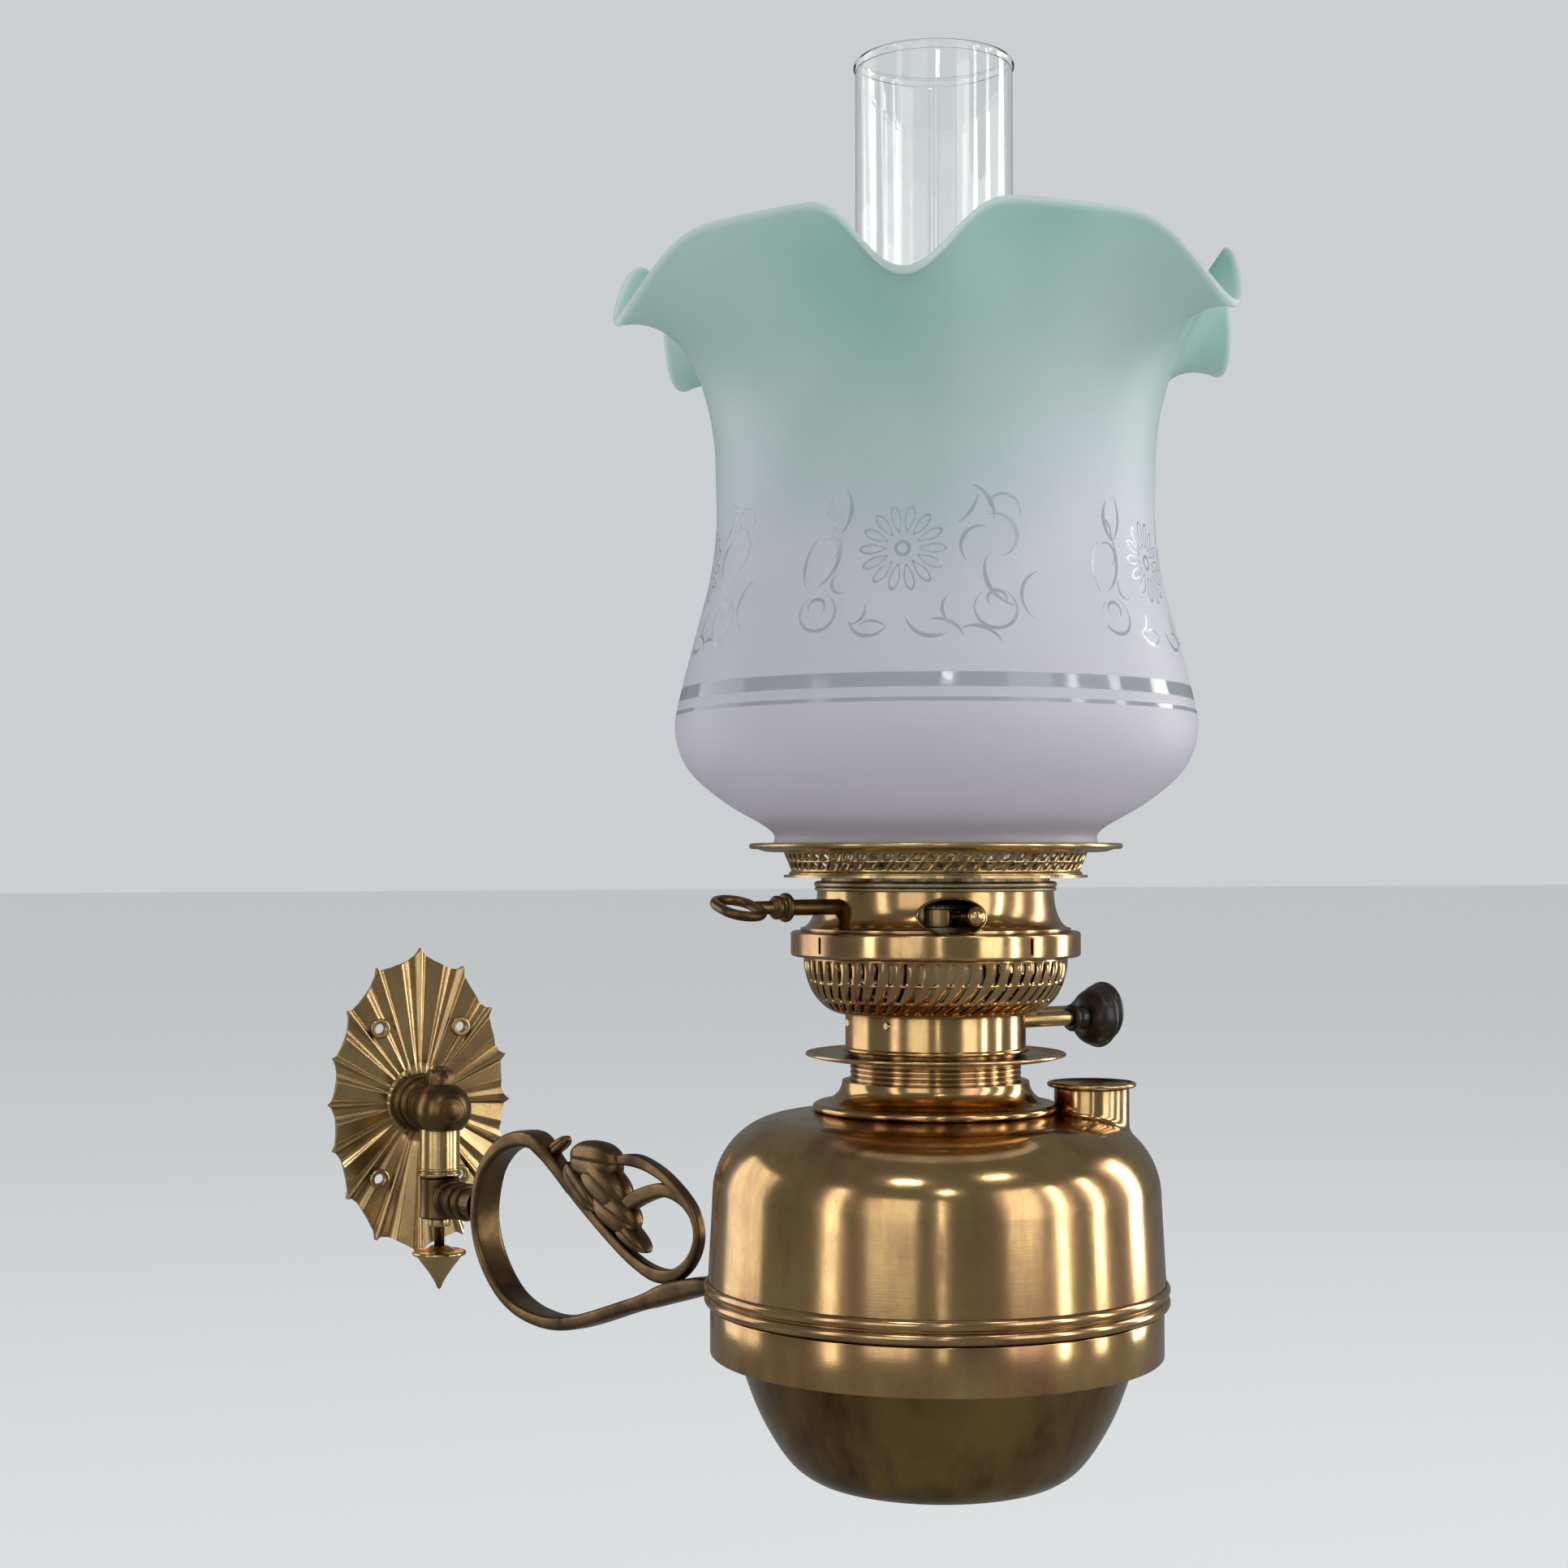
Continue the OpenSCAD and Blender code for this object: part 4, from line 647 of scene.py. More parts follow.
shadeForm = {
    "side": [(51, 0), (51, 5.4), (64.3, 13.5), (74.2, 21.4), (79.1, 28.4), (81.1, 37.4), (79.5, 47.4),
             (74.4, 67.4), (70.3, 83.4), (68.3, 99.4), (68.5, 118)],   # radius and height of the plain part
    "neck": 68.5,
    "dipRadius": 104.0, "dipHeight": 37.5, "dipTurn": 42.0,
    "peakRadius": 91.0, "peakHeight": 62.0,
    "ruffles": 6, "flareSharpness": 1.8, "heightSharpness": 3.6,
    "wall": 2.4,
    "columns": 288, "ruffleRows": 26,
}


# Outside of the shade as rows of radius and height, one column for each angle. Under the ruffle all columns are
# the same; above it each runs between the curve of a dip and that of a peak, weighted by a sharpened cosine. Height is
# sharpened more, so that the rim stands in domes between narrow dips
def shadeProfile(form, angles):
    side = smoothCurve(form["side"], 5)[:-1]
    dip = (1 + np.cos(form["ruffles"] * np.radians(angles - form["dipTurn"]))) / 2
    t = np.linspace(0, 1, form["ruffleRows"])[:, None]
    neck, top = form["neck"], form["side"][-1][1]
    lowR = neck + (form["dipRadius"] - neck) * (1 - np.cos(np.radians(96 * t))) / (1 - math.cos(math.radians(96)))
    lowZ = form["dipHeight"] * np.sin(np.radians(104 * t)) / math.sin(math.radians(104))
    highR = neck + (form["peakRadius"] - neck) * t * t
    highZ = form["peakHeight"] * t
    radius = highR + dip ** form["flareSharpness"] * (lowR - highR)
    height = top + highZ + dip ** form["heightSharpness"] * (lowZ - highZ)
    radius = np.vstack([np.repeat(side[:, :1], len(angles), axis=1), radius])
    height = np.vstack([np.repeat(side[:, 1:], len(angles), axis=1), height])
    return radius, height


# The glass between the outside and the same surface moved in by the wall, with a round rim
def makeShade(form):
    angles = np.arange(form["columns"]) * 360.0 / form["columns"]
    radius, height = shadeProfile(form, angles)
    slopeR, slopeZ = np.gradient(radius, axis=0), np.gradient(height, axis=0)
    length = np.hypot(slopeR, slopeZ)
    inR, inZ = radius - form["wall"] * slopeZ / length, height + form["wall"] * slopeR / length
    inZ[0] = 0.0
    rim = np.radians(np.array([30.0, 60.0, 90.0, 120.0, 150.0]))[:, None]
    midR, midZ = (radius[-1] + inR[-1]) / 2, (height[-1] + inZ[-1]) / 2
    outR, outZ = radius[-1] - midR, height[-1] - midZ
    alongR, alongZ = slopeR[-1] / length[-1], slopeZ[-1] / length[-1]
    lift = form["wall"] / 2 * 0.4
    rimR = midR + outR * np.cos(rim) + alongR * lift * np.sin(rim)
    rimZ = midZ + outZ * np.cos(rim) + alongZ * lift * np.sin(rim)
    allR = np.vstack([radius, rimR, inR[::-1]])
    allZ = shadeLow.z / mm + np.vstack([height, rimZ, inZ[::-1]])
    turn = np.radians(angles)[None, :]
    points = np.stack([allR * np.cos(turn), allR * np.sin(turn), allZ], axis=-1)
    fromRim = np.hypot(allR - midR, allZ - shadeLow.z / mm - midZ)
    makePiece("shade", toLamp(points), gridFaces(*allR.shape, loopRows=True), 60.0,
              marks=np.clip(1 - fromRim / 3.0, 0, 1))


makeShade(shadeForm)
print("Shade made")

# Chimney

chimneyForm = {
    "side": [(32, 9), (33.6, 14), (36, 28), (34, 42), (28.7, 56), (25.5, 70), (24.7, 82), (24.7, 130), (24.7, 200)],
    "foot": 32.0, "wall": 1.8, "tube": 24.7, "segments": 160,
}


# Foot, belly and tube as one smooth side, with a thick rolled rim at the top
def makeChimney(form):
    low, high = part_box("chimney")
    low, top, wall = low.z / mm, high.z / mm, form["wall"]
    outer = line((form["foot"], low), smoothCurve(form["side"], 8) + (0, low))
    rim = arc(form["tube"] - wall / 2, top - 1.5, 1.5, 1.5, -60, 240, 14)
    inner = (outer - (wall, 0))[::-1]
    outline = line(outer, (form["tube"], top - 4), rim, (form["tube"] - wall, top - 4), inner)
    points, faces = spun(outline, form["segments"])
    return makePiece("chimney", toLamp(points), faces, 50.0)


makeChimney(chimneyForm)
print("Chimney made")

# Font

fontForm = {
    "tank": 70.8, "seamLow": -37.7, "seamHigh": -30.1, "shoulder": (46.0, -4.0, 23.3, 24.0),
    "crown": 21.5, "collar": 38.2, "mouth": 24.5, "collarTop": 31.0, "wall": 1.2,
    "seamBead": 1.9, "foot": 36.0, "footHeight": -90.8, "bowlTop": 66.5, "bowlRise": 50.8,
    "bowl": [(0, 0), (0.13, 0.026), (0.295, 0.099), (0.459, 0.228), (0.639, 0.426), (0.79, 0.663), (0.9, 0.84),
             (1, 1)],                                     # shares of the way out and of the rise
    "fillerOut": 48.5, "fillerTurn": -40.0, "filler": 11.6, "fillerTop": 28.5,
    "capPlug": 10.3, "capLow": 24.3, "capSeat": 28.8, "capLip": 13.8, "segments": 224,
}


def tankLine(form):
    x, y, wide, high = form["shoulder"]
    return line((form["tank"], form["seamLow"] + 1.21), (form["tank"] - 0.15, form["seamHigh"]),
                arc(x, y, wide, high, 0, 90, 36), (form["collar"], form["crown"]), (form["mouth"], form["crown"]))


def makeTank(form):
    points, faces = spun(softened(sheet(tankLine(form), form["wall"])), form["segments"])
    tank = makePiece("tank_shell", toLamp(points), faces)
    hole = tube([(form["fillerOut"], 0, 0), (form["fillerOut"], 0, 40)], form["filler"] - 1.4, 64)
    cutAway(tank, toLamp(hole[0], form["fillerTurn"]), hole[1])


# Two half-round beads, one on the other, over the seam
def makeSeam(form):
    out, bead = form["tank"] - 0.8, form["seamBead"]
    low = form["seamLow"]
    outline = line((form["tank"] + 0.05, low + 0.2), arc(out, low + bead, bead, bead, -64, 64, 20),
                   arc(out, low + 3 * bead, bead, bead, -64, 64, 20), (form["tank"] + 0.05, form["seamHigh"] - 0.2))
    points, faces = spun(outline, form["segments"])
    makePiece("tank_bead", toLamp(points), faces, 50.0)


# The bowl's side as a smooth curve through its points, with a flat foot and a flange over the ring
def makeBowl(form):
    shares = smoothCurve(form["bowl"], 8)
    side = np.stack([form["foot"] + shares[:, 0] * (form["bowlTop"] - form["foot"]),
                     form["footHeight"] + shares[:, 1] * form["bowlRise"]], axis=1)
    outer = line((0, form["footHeight"] + 1.0), (form["foot"] - 9, form["footHeight"] + 1.0),
                 (form["foot"] - 6, form["footHeight"]), side, (67, -38.7), (68.2, -37.7), (69.8, -37.7))
    points, faces = spun(softened(sheet(outer, form["wall"]), 0.4), form["segments"])
    makePiece("tank_bowl", toLamp(points), faces)


def makeCollar(form):
    crown, collar, top = form["crown"], form["collar"], form["collarTop"]
    outline = line((form["mouth"], crown), (collar - 1.4, crown), arc(collar - 1.2, crown + 1.2, 1.2, 1.2, -70, 80, 14),
                   arc(collar - 1.2, top, 8, top - crown - 2.6, -90, -180, 20), (form["mouth"], top))
    points, faces = spun(softened(outline, 0.3), form["segments"])
    makePiece("neck_collar", toLamp(points), faces)


# A short tube soldered on the shoulder: its foot spreads out and follows the tank's curve
def makeFiller(form):
    turn = np.arange(96) * 2 * math.pi / 96
    wide, top = form["filler"], form["fillerTop"]
    rows = [(wide + 1.3, -0.1, None), (wide + 0.6, 0.35, None), (wide + 0.15, 1.0, None), (wide, 2.0, None),
            (wide, 0, top - 0.4), (wide - 0.1, 0, top - 0.1), (wide - 0.5, 0, top), (wide - 0.9, 0, top - 0.1),
            (wide - 1, 0, top - 0.4), (wide - 1, -0.8, None)]
    reach = np.array([row[0] for row in rows])[:, None]
    x, y = form["fillerOut"] + reach * np.cos(turn), reach * np.sin(turn)
    shell = tankLine(form)[::-1]
    under = np.interp(np.hypot(x, y), shell[:, 0], shell[:, 1])
    z = np.stack([under[i] + rise if fixed is None else np.full(96, fixed)
                  for i, (out, rise, fixed) in enumerate(rows)])
    points = np.stack([x, y, z], axis=-1)
    makePiece("filler_neck", toLamp(points, form["fillerTurn"]), gridFaces(len(rows), 96, loopRows=True), 50.0)


# Push-in cap: a plug, a lip with a rolled edge, and a low dish with two turned rings on top
def makeCap(form):
    seat, lip, plug = form["capSeat"], form["capLip"], form["capPlug"]
    outline = line((0, form["capLow"]), (plug - 0.6, form["capLow"]), (plug, form["capLow"] + 0.5), (plug, seat),
                   (lip - 0.8, seat), arc(lip - 0.8, seat + 0.8, 0.8, 0.8, -60, 130, 10), (lip - 2.2, seat + 1.0),
                   (lip - 3.4, seat + 1.5), (lip - 4.2, seat + 1.2), (5.2, seat + 0.9), (4.4, seat + 1.2),
                   (3.4, seat + 0.9), (0, seat + 1.0))
    points, faces = spun(softened(outline), 128)
    makePiece("filler_cap", toLamp(points + (form["fillerOut"], 0, 0), form["fillerTurn"]), faces)


makeTank(fontForm)
makeSeam(fontForm)
makeBowl(fontForm)
makeCollar(fontForm)
makeFiller(fontForm)
makeCap(fontForm)
print("Font made")

# Pierced sheets


# Points on a turned sheet: u goes once round, v is the way along its outline in mm, depth is how far to the left
def onTurned(outline, u, v, depth):
    way = np.concatenate([[0], np.cumsum(np.linalg.norm(np.diff(outline, axis=0), axis=1))])
    r, z, sideR, sideZ = (np.interp(v, way, column) for column in (*outline.T, *sideOf(outline).T))
    r, z, a = r + depth * sideR, z + depth * sideZ, 2 * math.pi * u
    return np.stack([r * np.cos(a), r * np.sin(a), z], axis=-1)


# A plain stretch of the sheet: both faces, and the edge at each end that is named
def plainBand(outline, wall, low, high, count, steps, ends=()):
    v, u = np.meshgrid(np.linspace(low, high, steps), np.arange(count) / count, indexing="ij")
    faces = [onTurned(outline, u, v, 0), onTurned(outline, u, v, wall)]
    edges = [np.stack([faces[0][end], faces[1][end]]) for end in ends]
    return joined(*[(part.reshape(-1, 3), gridFaces(len(part), count)) for part in faces + edges])


# A row of holes. Each tile is rings of quads from a square, leaning as a whole, to the hole's rounded outline;
# the sheet sinks towards the hole, and the hole's wall joins the two faces
def piercedBand(outline, wall, low, high, columns, row, side=6, rings=3):
    t = np.arange(side) / side
    square = line(*zip(t, 0 * t), *zip(1 + 0 * t, t), *zip(1 - t, 1 + 0 * t), *zip(0 * t, 1 - t))
    a = np.radians(-135 + 90 * np.arange(4 * side) / side)
    x, y = (half * np.sign(way) * np.abs(way) ** row["power"] for half, way in
            ((row["half"][0], np.cos(a)), (row["half"][1], np.sin(a))))
    hole = np.stack([0.5 + x - row["hook"] * np.maximum(y, 0) ** 2, 0.5 + y], axis=1)
    t = np.linspace(0, 1, rings)[:, None, None]
    tile = square + t * (hole - square)
    tile[..., 0] += row["lean"] * (tile[..., 1] - 0.5)
    k = np.arange(columns)[:, None, None]
    u, v = (tile[..., 0] + k + row["shift"]) / columns, low + tile[..., 1] * (high - low) + 0 * k
    sink = row["sink"] * t[..., 0] ** 2
    points = np.concatenate([onTurned(outline, u, v, sink), onTurned(outline, u, v, wall + sink)[:, ::-1]], axis=1)
    one = gridFaces(2 * rings, 4 * side)
    faces = one[None] + (k * (2 * rings * 4 * side))
    return points.reshape(-1, 3), faces.reshape(-1, 4)


# Burner

basketForm = {
    "base": 28.0, "low": 51.5, "bulge": 13.0, "height": 17.5, "wall": 0.8, "slots": 54,
    # Ways along the side between the rows in mm, then each row's slots in shares of their tile
    "bands": [4.6, 10.0, 16.4, 23.7],
    "rows": [dict(half=(0.14, 0.39), lean=1.0, shift=0.5, hook=0.0, power=0.55, sink=0.35),
             dict(half=(0.14, 0.40), lean=0.667, shift=0.0, hook=0.0, power=0.55, sink=0.4),
             dict(half=(0.15, 0.43), lean=0.333, shift=0.5, hook=1.0, power=0.5, sink=0.5)],
}


def makeBasket(form):
    side = arc(form["base"], form["low"] + form["height"], form["bulge"], form["height"], -90, 0, 80)
    whole = np.linalg.norm(np.diff(side, axis=0), axis=1).sum()
    bands, count = form["bands"], form["slots"] * 6
    parts = [plainBand(side, form["wall"], 0, bands[0], count, 6, ends=(0,)),
             plainBand(side, form["wall"], bands[-1], whole, count, 2, ends=(-1,))]
    parts += [piercedBand(side, form["wall"], low, high, form["slots"], row)
              for low, high, row in zip(bands, bands[1:], form["rows"])]
    points, faces = joined(*parts)
    makePiece("burner_basket", toLamp(points, burnerTurn), faces, 50.0)


burnerForm = {
    "base": [(22.9, 22.5), (24.45, 22.5), (24.45, 31.0), (26.5, 31.0), (26.5, 32.2), (26.0, 32.6), (26.5, 33.0),
             (26.5, 33.8), (26.0, 34.2), (26.5, 34.6), (26.5, 35.4), (26.0, 35.8), (26.5, 36.2), (26.5, 40.0)],
    "baseTop": [(28.0, 41.4), (28.0, 51.5), (27.0, 51.5), (27.0, 41.8), (22.9, 41.8)],
    "drip": [(26.55, 38.0), (29.5, 37.4), (33.0, 37.5), (36.5, 37.8), (40.5, 38.8)],
    "skirtLow": 77.21, "skirtTop": 89.4, "skirtNeck": 92.7, "wall": 0.8,
    "windowTurn": -120.0, "windowHeight": 82.4, "window": (10.0, 5.0), "eyelet": 0.7,
    "slitTurns": (-88.0, 2.0, 92.0, 182.0), "key": 85.0,
}


def skirtLine(form):
    return line((42, form["skirtLow"]), arc(42, form["skirtTop"], 5.2, 11.2, -90, -180, 48), (36.8, form["skirtNeck"]))


def makeBase(form):
    outline = line(*form["base"], arc(28.3, 40.7, 0.7, 0.7, -80, 80, 14), *form["baseTop"])
    points, faces = spun(softened(outline, 0.15), 224)
    base = makePiece("burner_base", toLamp(points, burnerTurn), faces, 50.0)
    for y in (-10.0, 10.0):
        points, faces = tube([(12, y, 49), (34, y, 49)], 2.45, 32)
        cutAway(base, toLamp(points, burnerTurn), faces)


def makeDrip(form):
    points, faces = spun(softened(sheet(smoothCurve(form["drip"], 5), 0.9), 0.35), 192)
    makePiece("drip_flange", toLamp(points, burnerTurn), faces, 50.0)


# Upright band with rounded shoulders, split by narrow slits
def makeBand(form):
    outer = line((40.5, 69.01), (43.8, 69.4), arc(44, 70.4, 1, 1, -78, 0, 10), arc(44, 76.2, 1, 1, 0, 90, 10),
                 (41.8, 77.2))
    points, faces = spun(softened(sheet(outer, form["wall"])), 256)
    band = makePiece("burner_band", toLamp(points, burnerTurn), faces, 50.0)
    for turn in form["slitTurns"]:
        points, faces = block((42, -0.6, 70.9), (47, 0.6, 75.9))
        cutAway(band, toLamp(points, burnerTurn + turn), faces)


def makeSkirt(form):
    inside = line((36, form["skirtNeck"]), arc(42, form["skirtTop"], 6, 12, -180, -97.7, 40), (41.2, 77.4),
                  (41.2, form["skirtLow"]))
    points, faces = spun(softened(line(skirtLine(form), inside), 0.15), 256)
    skirt = makePiece("burner_skirt", toLamp(points, burnerTurn), faces, 50.0)
    wide, high = (half + form["eyelet"] + 0.05 for half in form["window"])
    points, faces = tube([(20, 0, 0), (60, 0, 0)], wide, 64)
    points = points * (1, 1, high / wide) + (0, 0, form["windowHeight"])
    cutAway(skirt, toLamp(points, burnerTurn + form["windowTurn"]), faces)
    points, faces = tube([(-60, 0, form["key"]), (-20, 0, form["key"])], 2.45, 32)
    cutAway(skirt, toLamp(points, burnerTurn), faces)


# A half-round rim that follows the window's oval on the hollow side of the skirt
def makeEyelet(form):
    section = line((0.0, -1.1), (0.0, 0.25), (0.12, 0.6), (0.35, 0.75), (0.58, 0.6), (0.7, 0.25), (0.7, -1.1))
    turn = np.arange(128) * 2 * math.pi / 128
    out, lift = section[:, :1], section[:, 1:]
    y = (form["window"][0] + out) * np.cos(turn)
    z = np.maximum(form["windowHeight"] + (form["window"][1] + out) * np.sin(turn), form["skirtLow"] + 0.02)
    side = skirtLine(form)
    x = np.sqrt(np.interp(z, side[:, 1], side[:, 0]) ** 2 - y ** 2) + lift
    points = np.stack([x, y, z], axis=-1)
    makePiece("window_eyelet", toLamp(points, burnerTurn + form["windowTurn"]), gridFaces(*x.shape, loopRows=True), 60.0)


# One broad and one thin half-round ring round the skirt's neck
def makeNeckRings():
    outline = line((36.85, 89.6), arc(36.95, 90.25, 0.65, 0.6, -85, 85, 12), arc(37.0, 91.7, 0.75, 0.85, -85, 85, 14),
                   (36.85, 92.6))
    points, faces = spun(outline, 224)
    makePiece("neck_rings", toLamp(points, burnerTurn), faces, 60.0)


makeBasket(basketForm)
makeBase(burnerForm)
makeDrip(burnerForm)
makeBand(burnerForm)
makeSkirt(burnerForm)
makeEyelet(burnerForm)
makeNeckRings()
print("Burner made")

# Winders, gallery and key

winderForm = {
    "shaft": 2.4, "inner": 1.2, "height": 49.0, "apart": 10.0, "fronts": {"near": 60.0, "far": 80.0},
    "knob": 9.8, "long": 14.0,
}


# A stepped shaft, and a knob whose side swells like a mushroom from a beaded hub to a rounded face
def makeWinder(form, which):
    front, centre = form["fronts"][which], (0, form["apart"] * (-1 if which == "near" else 1), form["height"])
    shaft, inner, hub, back = form["shaft"], form["inner"], form["shaft"] + 0.05, front - form["long"]
    rod = line((0, -26.6), (inner, -26.6), (inner, 24), (shaft, 24), (shaft, front - 6), (0, front - 6))
    points, faces = spunAlong(softened(rod, 0.2), "x", centre, 64)
    makePiece("winder_shaft_" + which, toLamp(points, burnerTurn), faces)
    knob = line((hub, back), (hub + 1, back), arc(hub + 1, back + 1.2, 0.9, 1.2, -80, 80, 12), (hub + 0.9, back + 3),
                (hub + 1.2, back + 5), arc(hub + 1.2, front - 3.2, 5.55, 5.6, -88, -8, 20),
                arc(form["knob"] - 0.9, front - 2.4, 0.9, 1.0, -40, 80, 10), (form["knob"] - 2, front - 1.3),
                (form["knob"] - 3, front - 0.7), (3, front), (0, front), (0, front - 5.8), (hub, front - 5.8))
    points, faces = spunAlong(softened(knob, 0.3), "x", centre, 96)
    makePiece("winder_knob_" + which, toLamp(points, burnerTurn), faces, 40.0)


galleryForm = {
    "dish": [(46.8, 101.6), (50.5, 101.62), (53.2, 101.9), (55.2, 102.5), (56.35, 103.0)], "dishWall": 0.7,
    "rim": (57.1, 103.5, 0.9),
    "lattice": 47.2, "taper": 2.4, "latticeLow": 93.8, "latticeHigh": 101.6, "wall": 0.8, "holes": 64,
    "bands": [95.95, 98.62, 101.3],
    "hole": dict(half=(0.30, 0.36), lean=0.45, hook=0.0, power=0.8, sink=0.4),
}


# A shallow dish that ends in a rolled rim
def makeDish(form):
    under = smoothCurve(form["dish"], 8)
    over = (under + form["dishWall"] * sideOf(under))[::-1]
    x, z, bead = form["rim"]
    outline = line(under, arc(x, z, bead, bead, -138, 152, 26), over[2:])
    points, faces = spun(outline, 256)
    makePiece("gallery_flange", toLamp(points, burnerTurn), faces, 60.0)


# The pierced wall under the dish: a bead at its foot and two rows of holes, one half a step on
def makeLattice(form):
    out, low = form["lattice"], form["latticeLow"]
    foot = out - form["taper"]
    side = line((foot - 0.8, low), arc(foot - 0.2, low + 1, 1, 1, -80, 80, 10), (foot, low + 2.05),
                (out, form["latticeHigh"]))
    way = np.concatenate([[0], np.cumsum(np.linalg.norm(np.diff(side, axis=0), axis=1))])
    bands, count = np.interp(form["bands"], side[:, 1], way), form["holes"] * 4
    parts = [plainBand(side, form["wall"], 0, bands[0], count, 14, ends=(0,)),
             plainBand(side, form["wall"], bands[-1], way[-1], count, 2, ends=(-1,))]
    parts += [piercedBand(side, form["wall"], low, high, form["holes"], {**form["hole"], "shift": shift}, side=4)
              for low, high, shift in zip(bands, bands[1:], (0.25, -0.25))]
    points, faces = joined(*parts)
    makePiece("gallery_lattice", toLamp(points, burnerTurn), faces, 50.0)


keyForm = {"height": 85.0, "collar": 55.1, "out": 73.0, "wide": 19.0, "high": 15.0, "wire": 1.5, "tilt": 17.0}


# Ring key: a beaded collar on the stem and a stadium-shaped ring of wire, tilted about the stem
def makeKey(form):
    collar, wire = form["collar"], form["wire"]
    bend, straight = form["high"] / 2 - wire, (form["wide"] - form["high"]) / 2
    end = form["out"] - form["high"] / 2 + wire
    outline = line((0, collar), arc(3.2, collar + 1.2, 1.2, 1.2, -90, 90, 14), (2.8, collar + 3),
                   arc(2.6, collar + 4.4, 1, 1.2, -90, 90, 12), (2, collar + 6.6), (2, end), (0, end))
    stem, stemFaces = spunAlong(softened(outline, 0.2), "x", (0, 0, 0), 48)
    half = arc(0, straight, bend, bend, 0, 180, 24)
    path = np.vstack([half, -half])
    path = np.stack([path[:, 0] - form["out"], path[:, 1] * math.cos(math.radians(form["tilt"])),
                     path[:, 1] * math.sin(math.radians(form["tilt"]))], axis=1)
    ring, ringFaces = tube(path, wire, 24, loop=True)
    points, faces = joined((stem * (-1, 1, 1), stemFaces), (ring, ringFaces))
    makePiece("key_bow", toLamp(points + (0, 0, form["height"]), burnerTurn), faces)


makeWinder(winderForm, "near")
makeWinder(winderForm, "far")
makeDish(galleryForm)
makeLattice(galleryForm)
makeKey(keyForm)
print("Winders, gallery and key made")

# Wall plate and swivel


# Adds a closed form to a piece
def addTo(piece, points, faces):
    mesh = bpy.data.meshes.new("added")
    mesh.from_pydata(points.tolist(), [], faces.tolist())
    weld(mesh, True)
    work = bmesh.new()
    work.from_mesh(piece.data)
    work.from_mesh(mesh)
    work.to_mesh(piece.data)
    work.free()
    bpy.data.meshes.remove(mesh)
    piece.data.shade_smooth()
    piece.data.set_sharp_from_angle(angle=math.radians(35.0))


plateForm = {
    "wide": 76.0, "high": 126.0, "hub": 13.0, "hubHeight": 3.5, "edge": 1.4, "pleat": 2.6, "tips": 16,
    # One sector from tip to tip: share of the way round, height of the pleat, and reach
    "folds": [(0, 1, 1), (0.05, 0.72, 0.975), (0.1, 0.08, 0.955), (0.32, 0.45, 0.93), (0.55, 0.8, 0.922),
              (0.66, 0.2, 0.924), (0.74, 0.1, 0.928), (0.9, 0.25, 0.955), (0.95, 0.66, 0.973), (1, 1, 1)],
    "columns": 40, "rows": 36, "holeX": 17.0, "holeZ": 30.5, "hole": 2.1, "pad": 4.1, "padTop": 3.85,
}


# The face rises from the wall by the edge's height, a crown that fades outwards and a pleat that fades in;
# a sector's pleat and reach are read off its folds, slightly rounded, and the outline is an oval times the reach
def makePlate(form):
    share = np.arange(form["columns"]) / form["columns"]
    folds = np.array(form["folds"])
    pleat, reach = (np.interp(share, folds[:, 0], folds[:, i]) for i in (1, 2))
    pleat = 0.25 * np.roll(pleat, 1) + 0.5 * pleat + 0.25 * np.roll(pleat, -1)
    pleat, reach = np.tile(pleat, form["tips"]), np.tile(reach, form["tips"])
    t = 2 * math.pi * np.arange(len(pleat)) / len(pleat)
    across, up = 0.8 * np.sin(t), np.cos(t)
    length = np.hypot(across, up)
    across, up = across / length, up / length
    edge = reach / np.hypot(across * 2 / form["wide"], up * 2 / form["high"])
    q = np.linspace(0, 1, form["rows"])[:, None] ** 0.9
    r = form["hub"] + q * (edge - form["hub"])
    height = form["edge"] + form["pleat"] * (0.35 * (1 - q) + pleat * q ** 0.6)
    height[0] = form["hubHeight"]
    r, height = np.vstack([r[:1] * 0, r, r[-1:], r[:1] * 0]), np.vstack([height[:1], height, height[:1] * 0, height[:1] * 0])
    points = np.stack([r * across, -height, r * up], axis=-1)
    plate = makePiece("backplate", points.reshape(-1, 3) * mm, gridFaces(*r.shape), 22.0)
    places = [(x, z) for x in (-form["holeX"], form["holeX"]) for z in (-form["holeZ"], form["holeZ"])]
    cutAway(plate, *scaled(joined(*[tube([(x, -9, z), (x, 3, z)], form["hole"] + 0.02, 48) for x, z in places])))
    top = form["padTop"]
    outline = line((form["hole"], 0.4), (form["hole"], top - 0.3), (form["hole"] + 0.3, top), (form["pad"] - 0.5, top),
                   (form["pad"] - 0.1, top - 0.3), (form["pad"], top - 0.8), (form["pad"], 0.4))
    for x, z in places:
        points, faces = spunAlong(softened(outline, 0.12), "y", (0, 0, 0), 48)
        addTo(plate, *scaled((points * (1, -1, 1) + (x, 0, z), faces)))


def scaled(shape):
    return shape[0] * mm, shape[1]


swivelForm = {
    "out": 30.0, "ball": 11.0, "ahead": 5.0, "flat": 9.5, "low": -8.0, "bore": 3.05,
    "boss": [(0, 3.5), (12, 3.5), (12, 6.0)],
    "bossNeck": [(10.6, 7.5), (10.4, 8.2), (10.4, 10.3), (9.6, 11.0), (8.6, 11.6), (9.0, 12.6), (9.1, 13.2), (9.0, 16.0),
                 (8.3, 17.2), (7.5, 18.0)],
    "neck": 8.0, "neckLow": -27.0, "barrel": (-43.5, -27.3), "mid": -35.4, "stub": 31.0,
    "washer": (2.1, 4.4, -46.8, -43.8), "tail": 2.05,
}


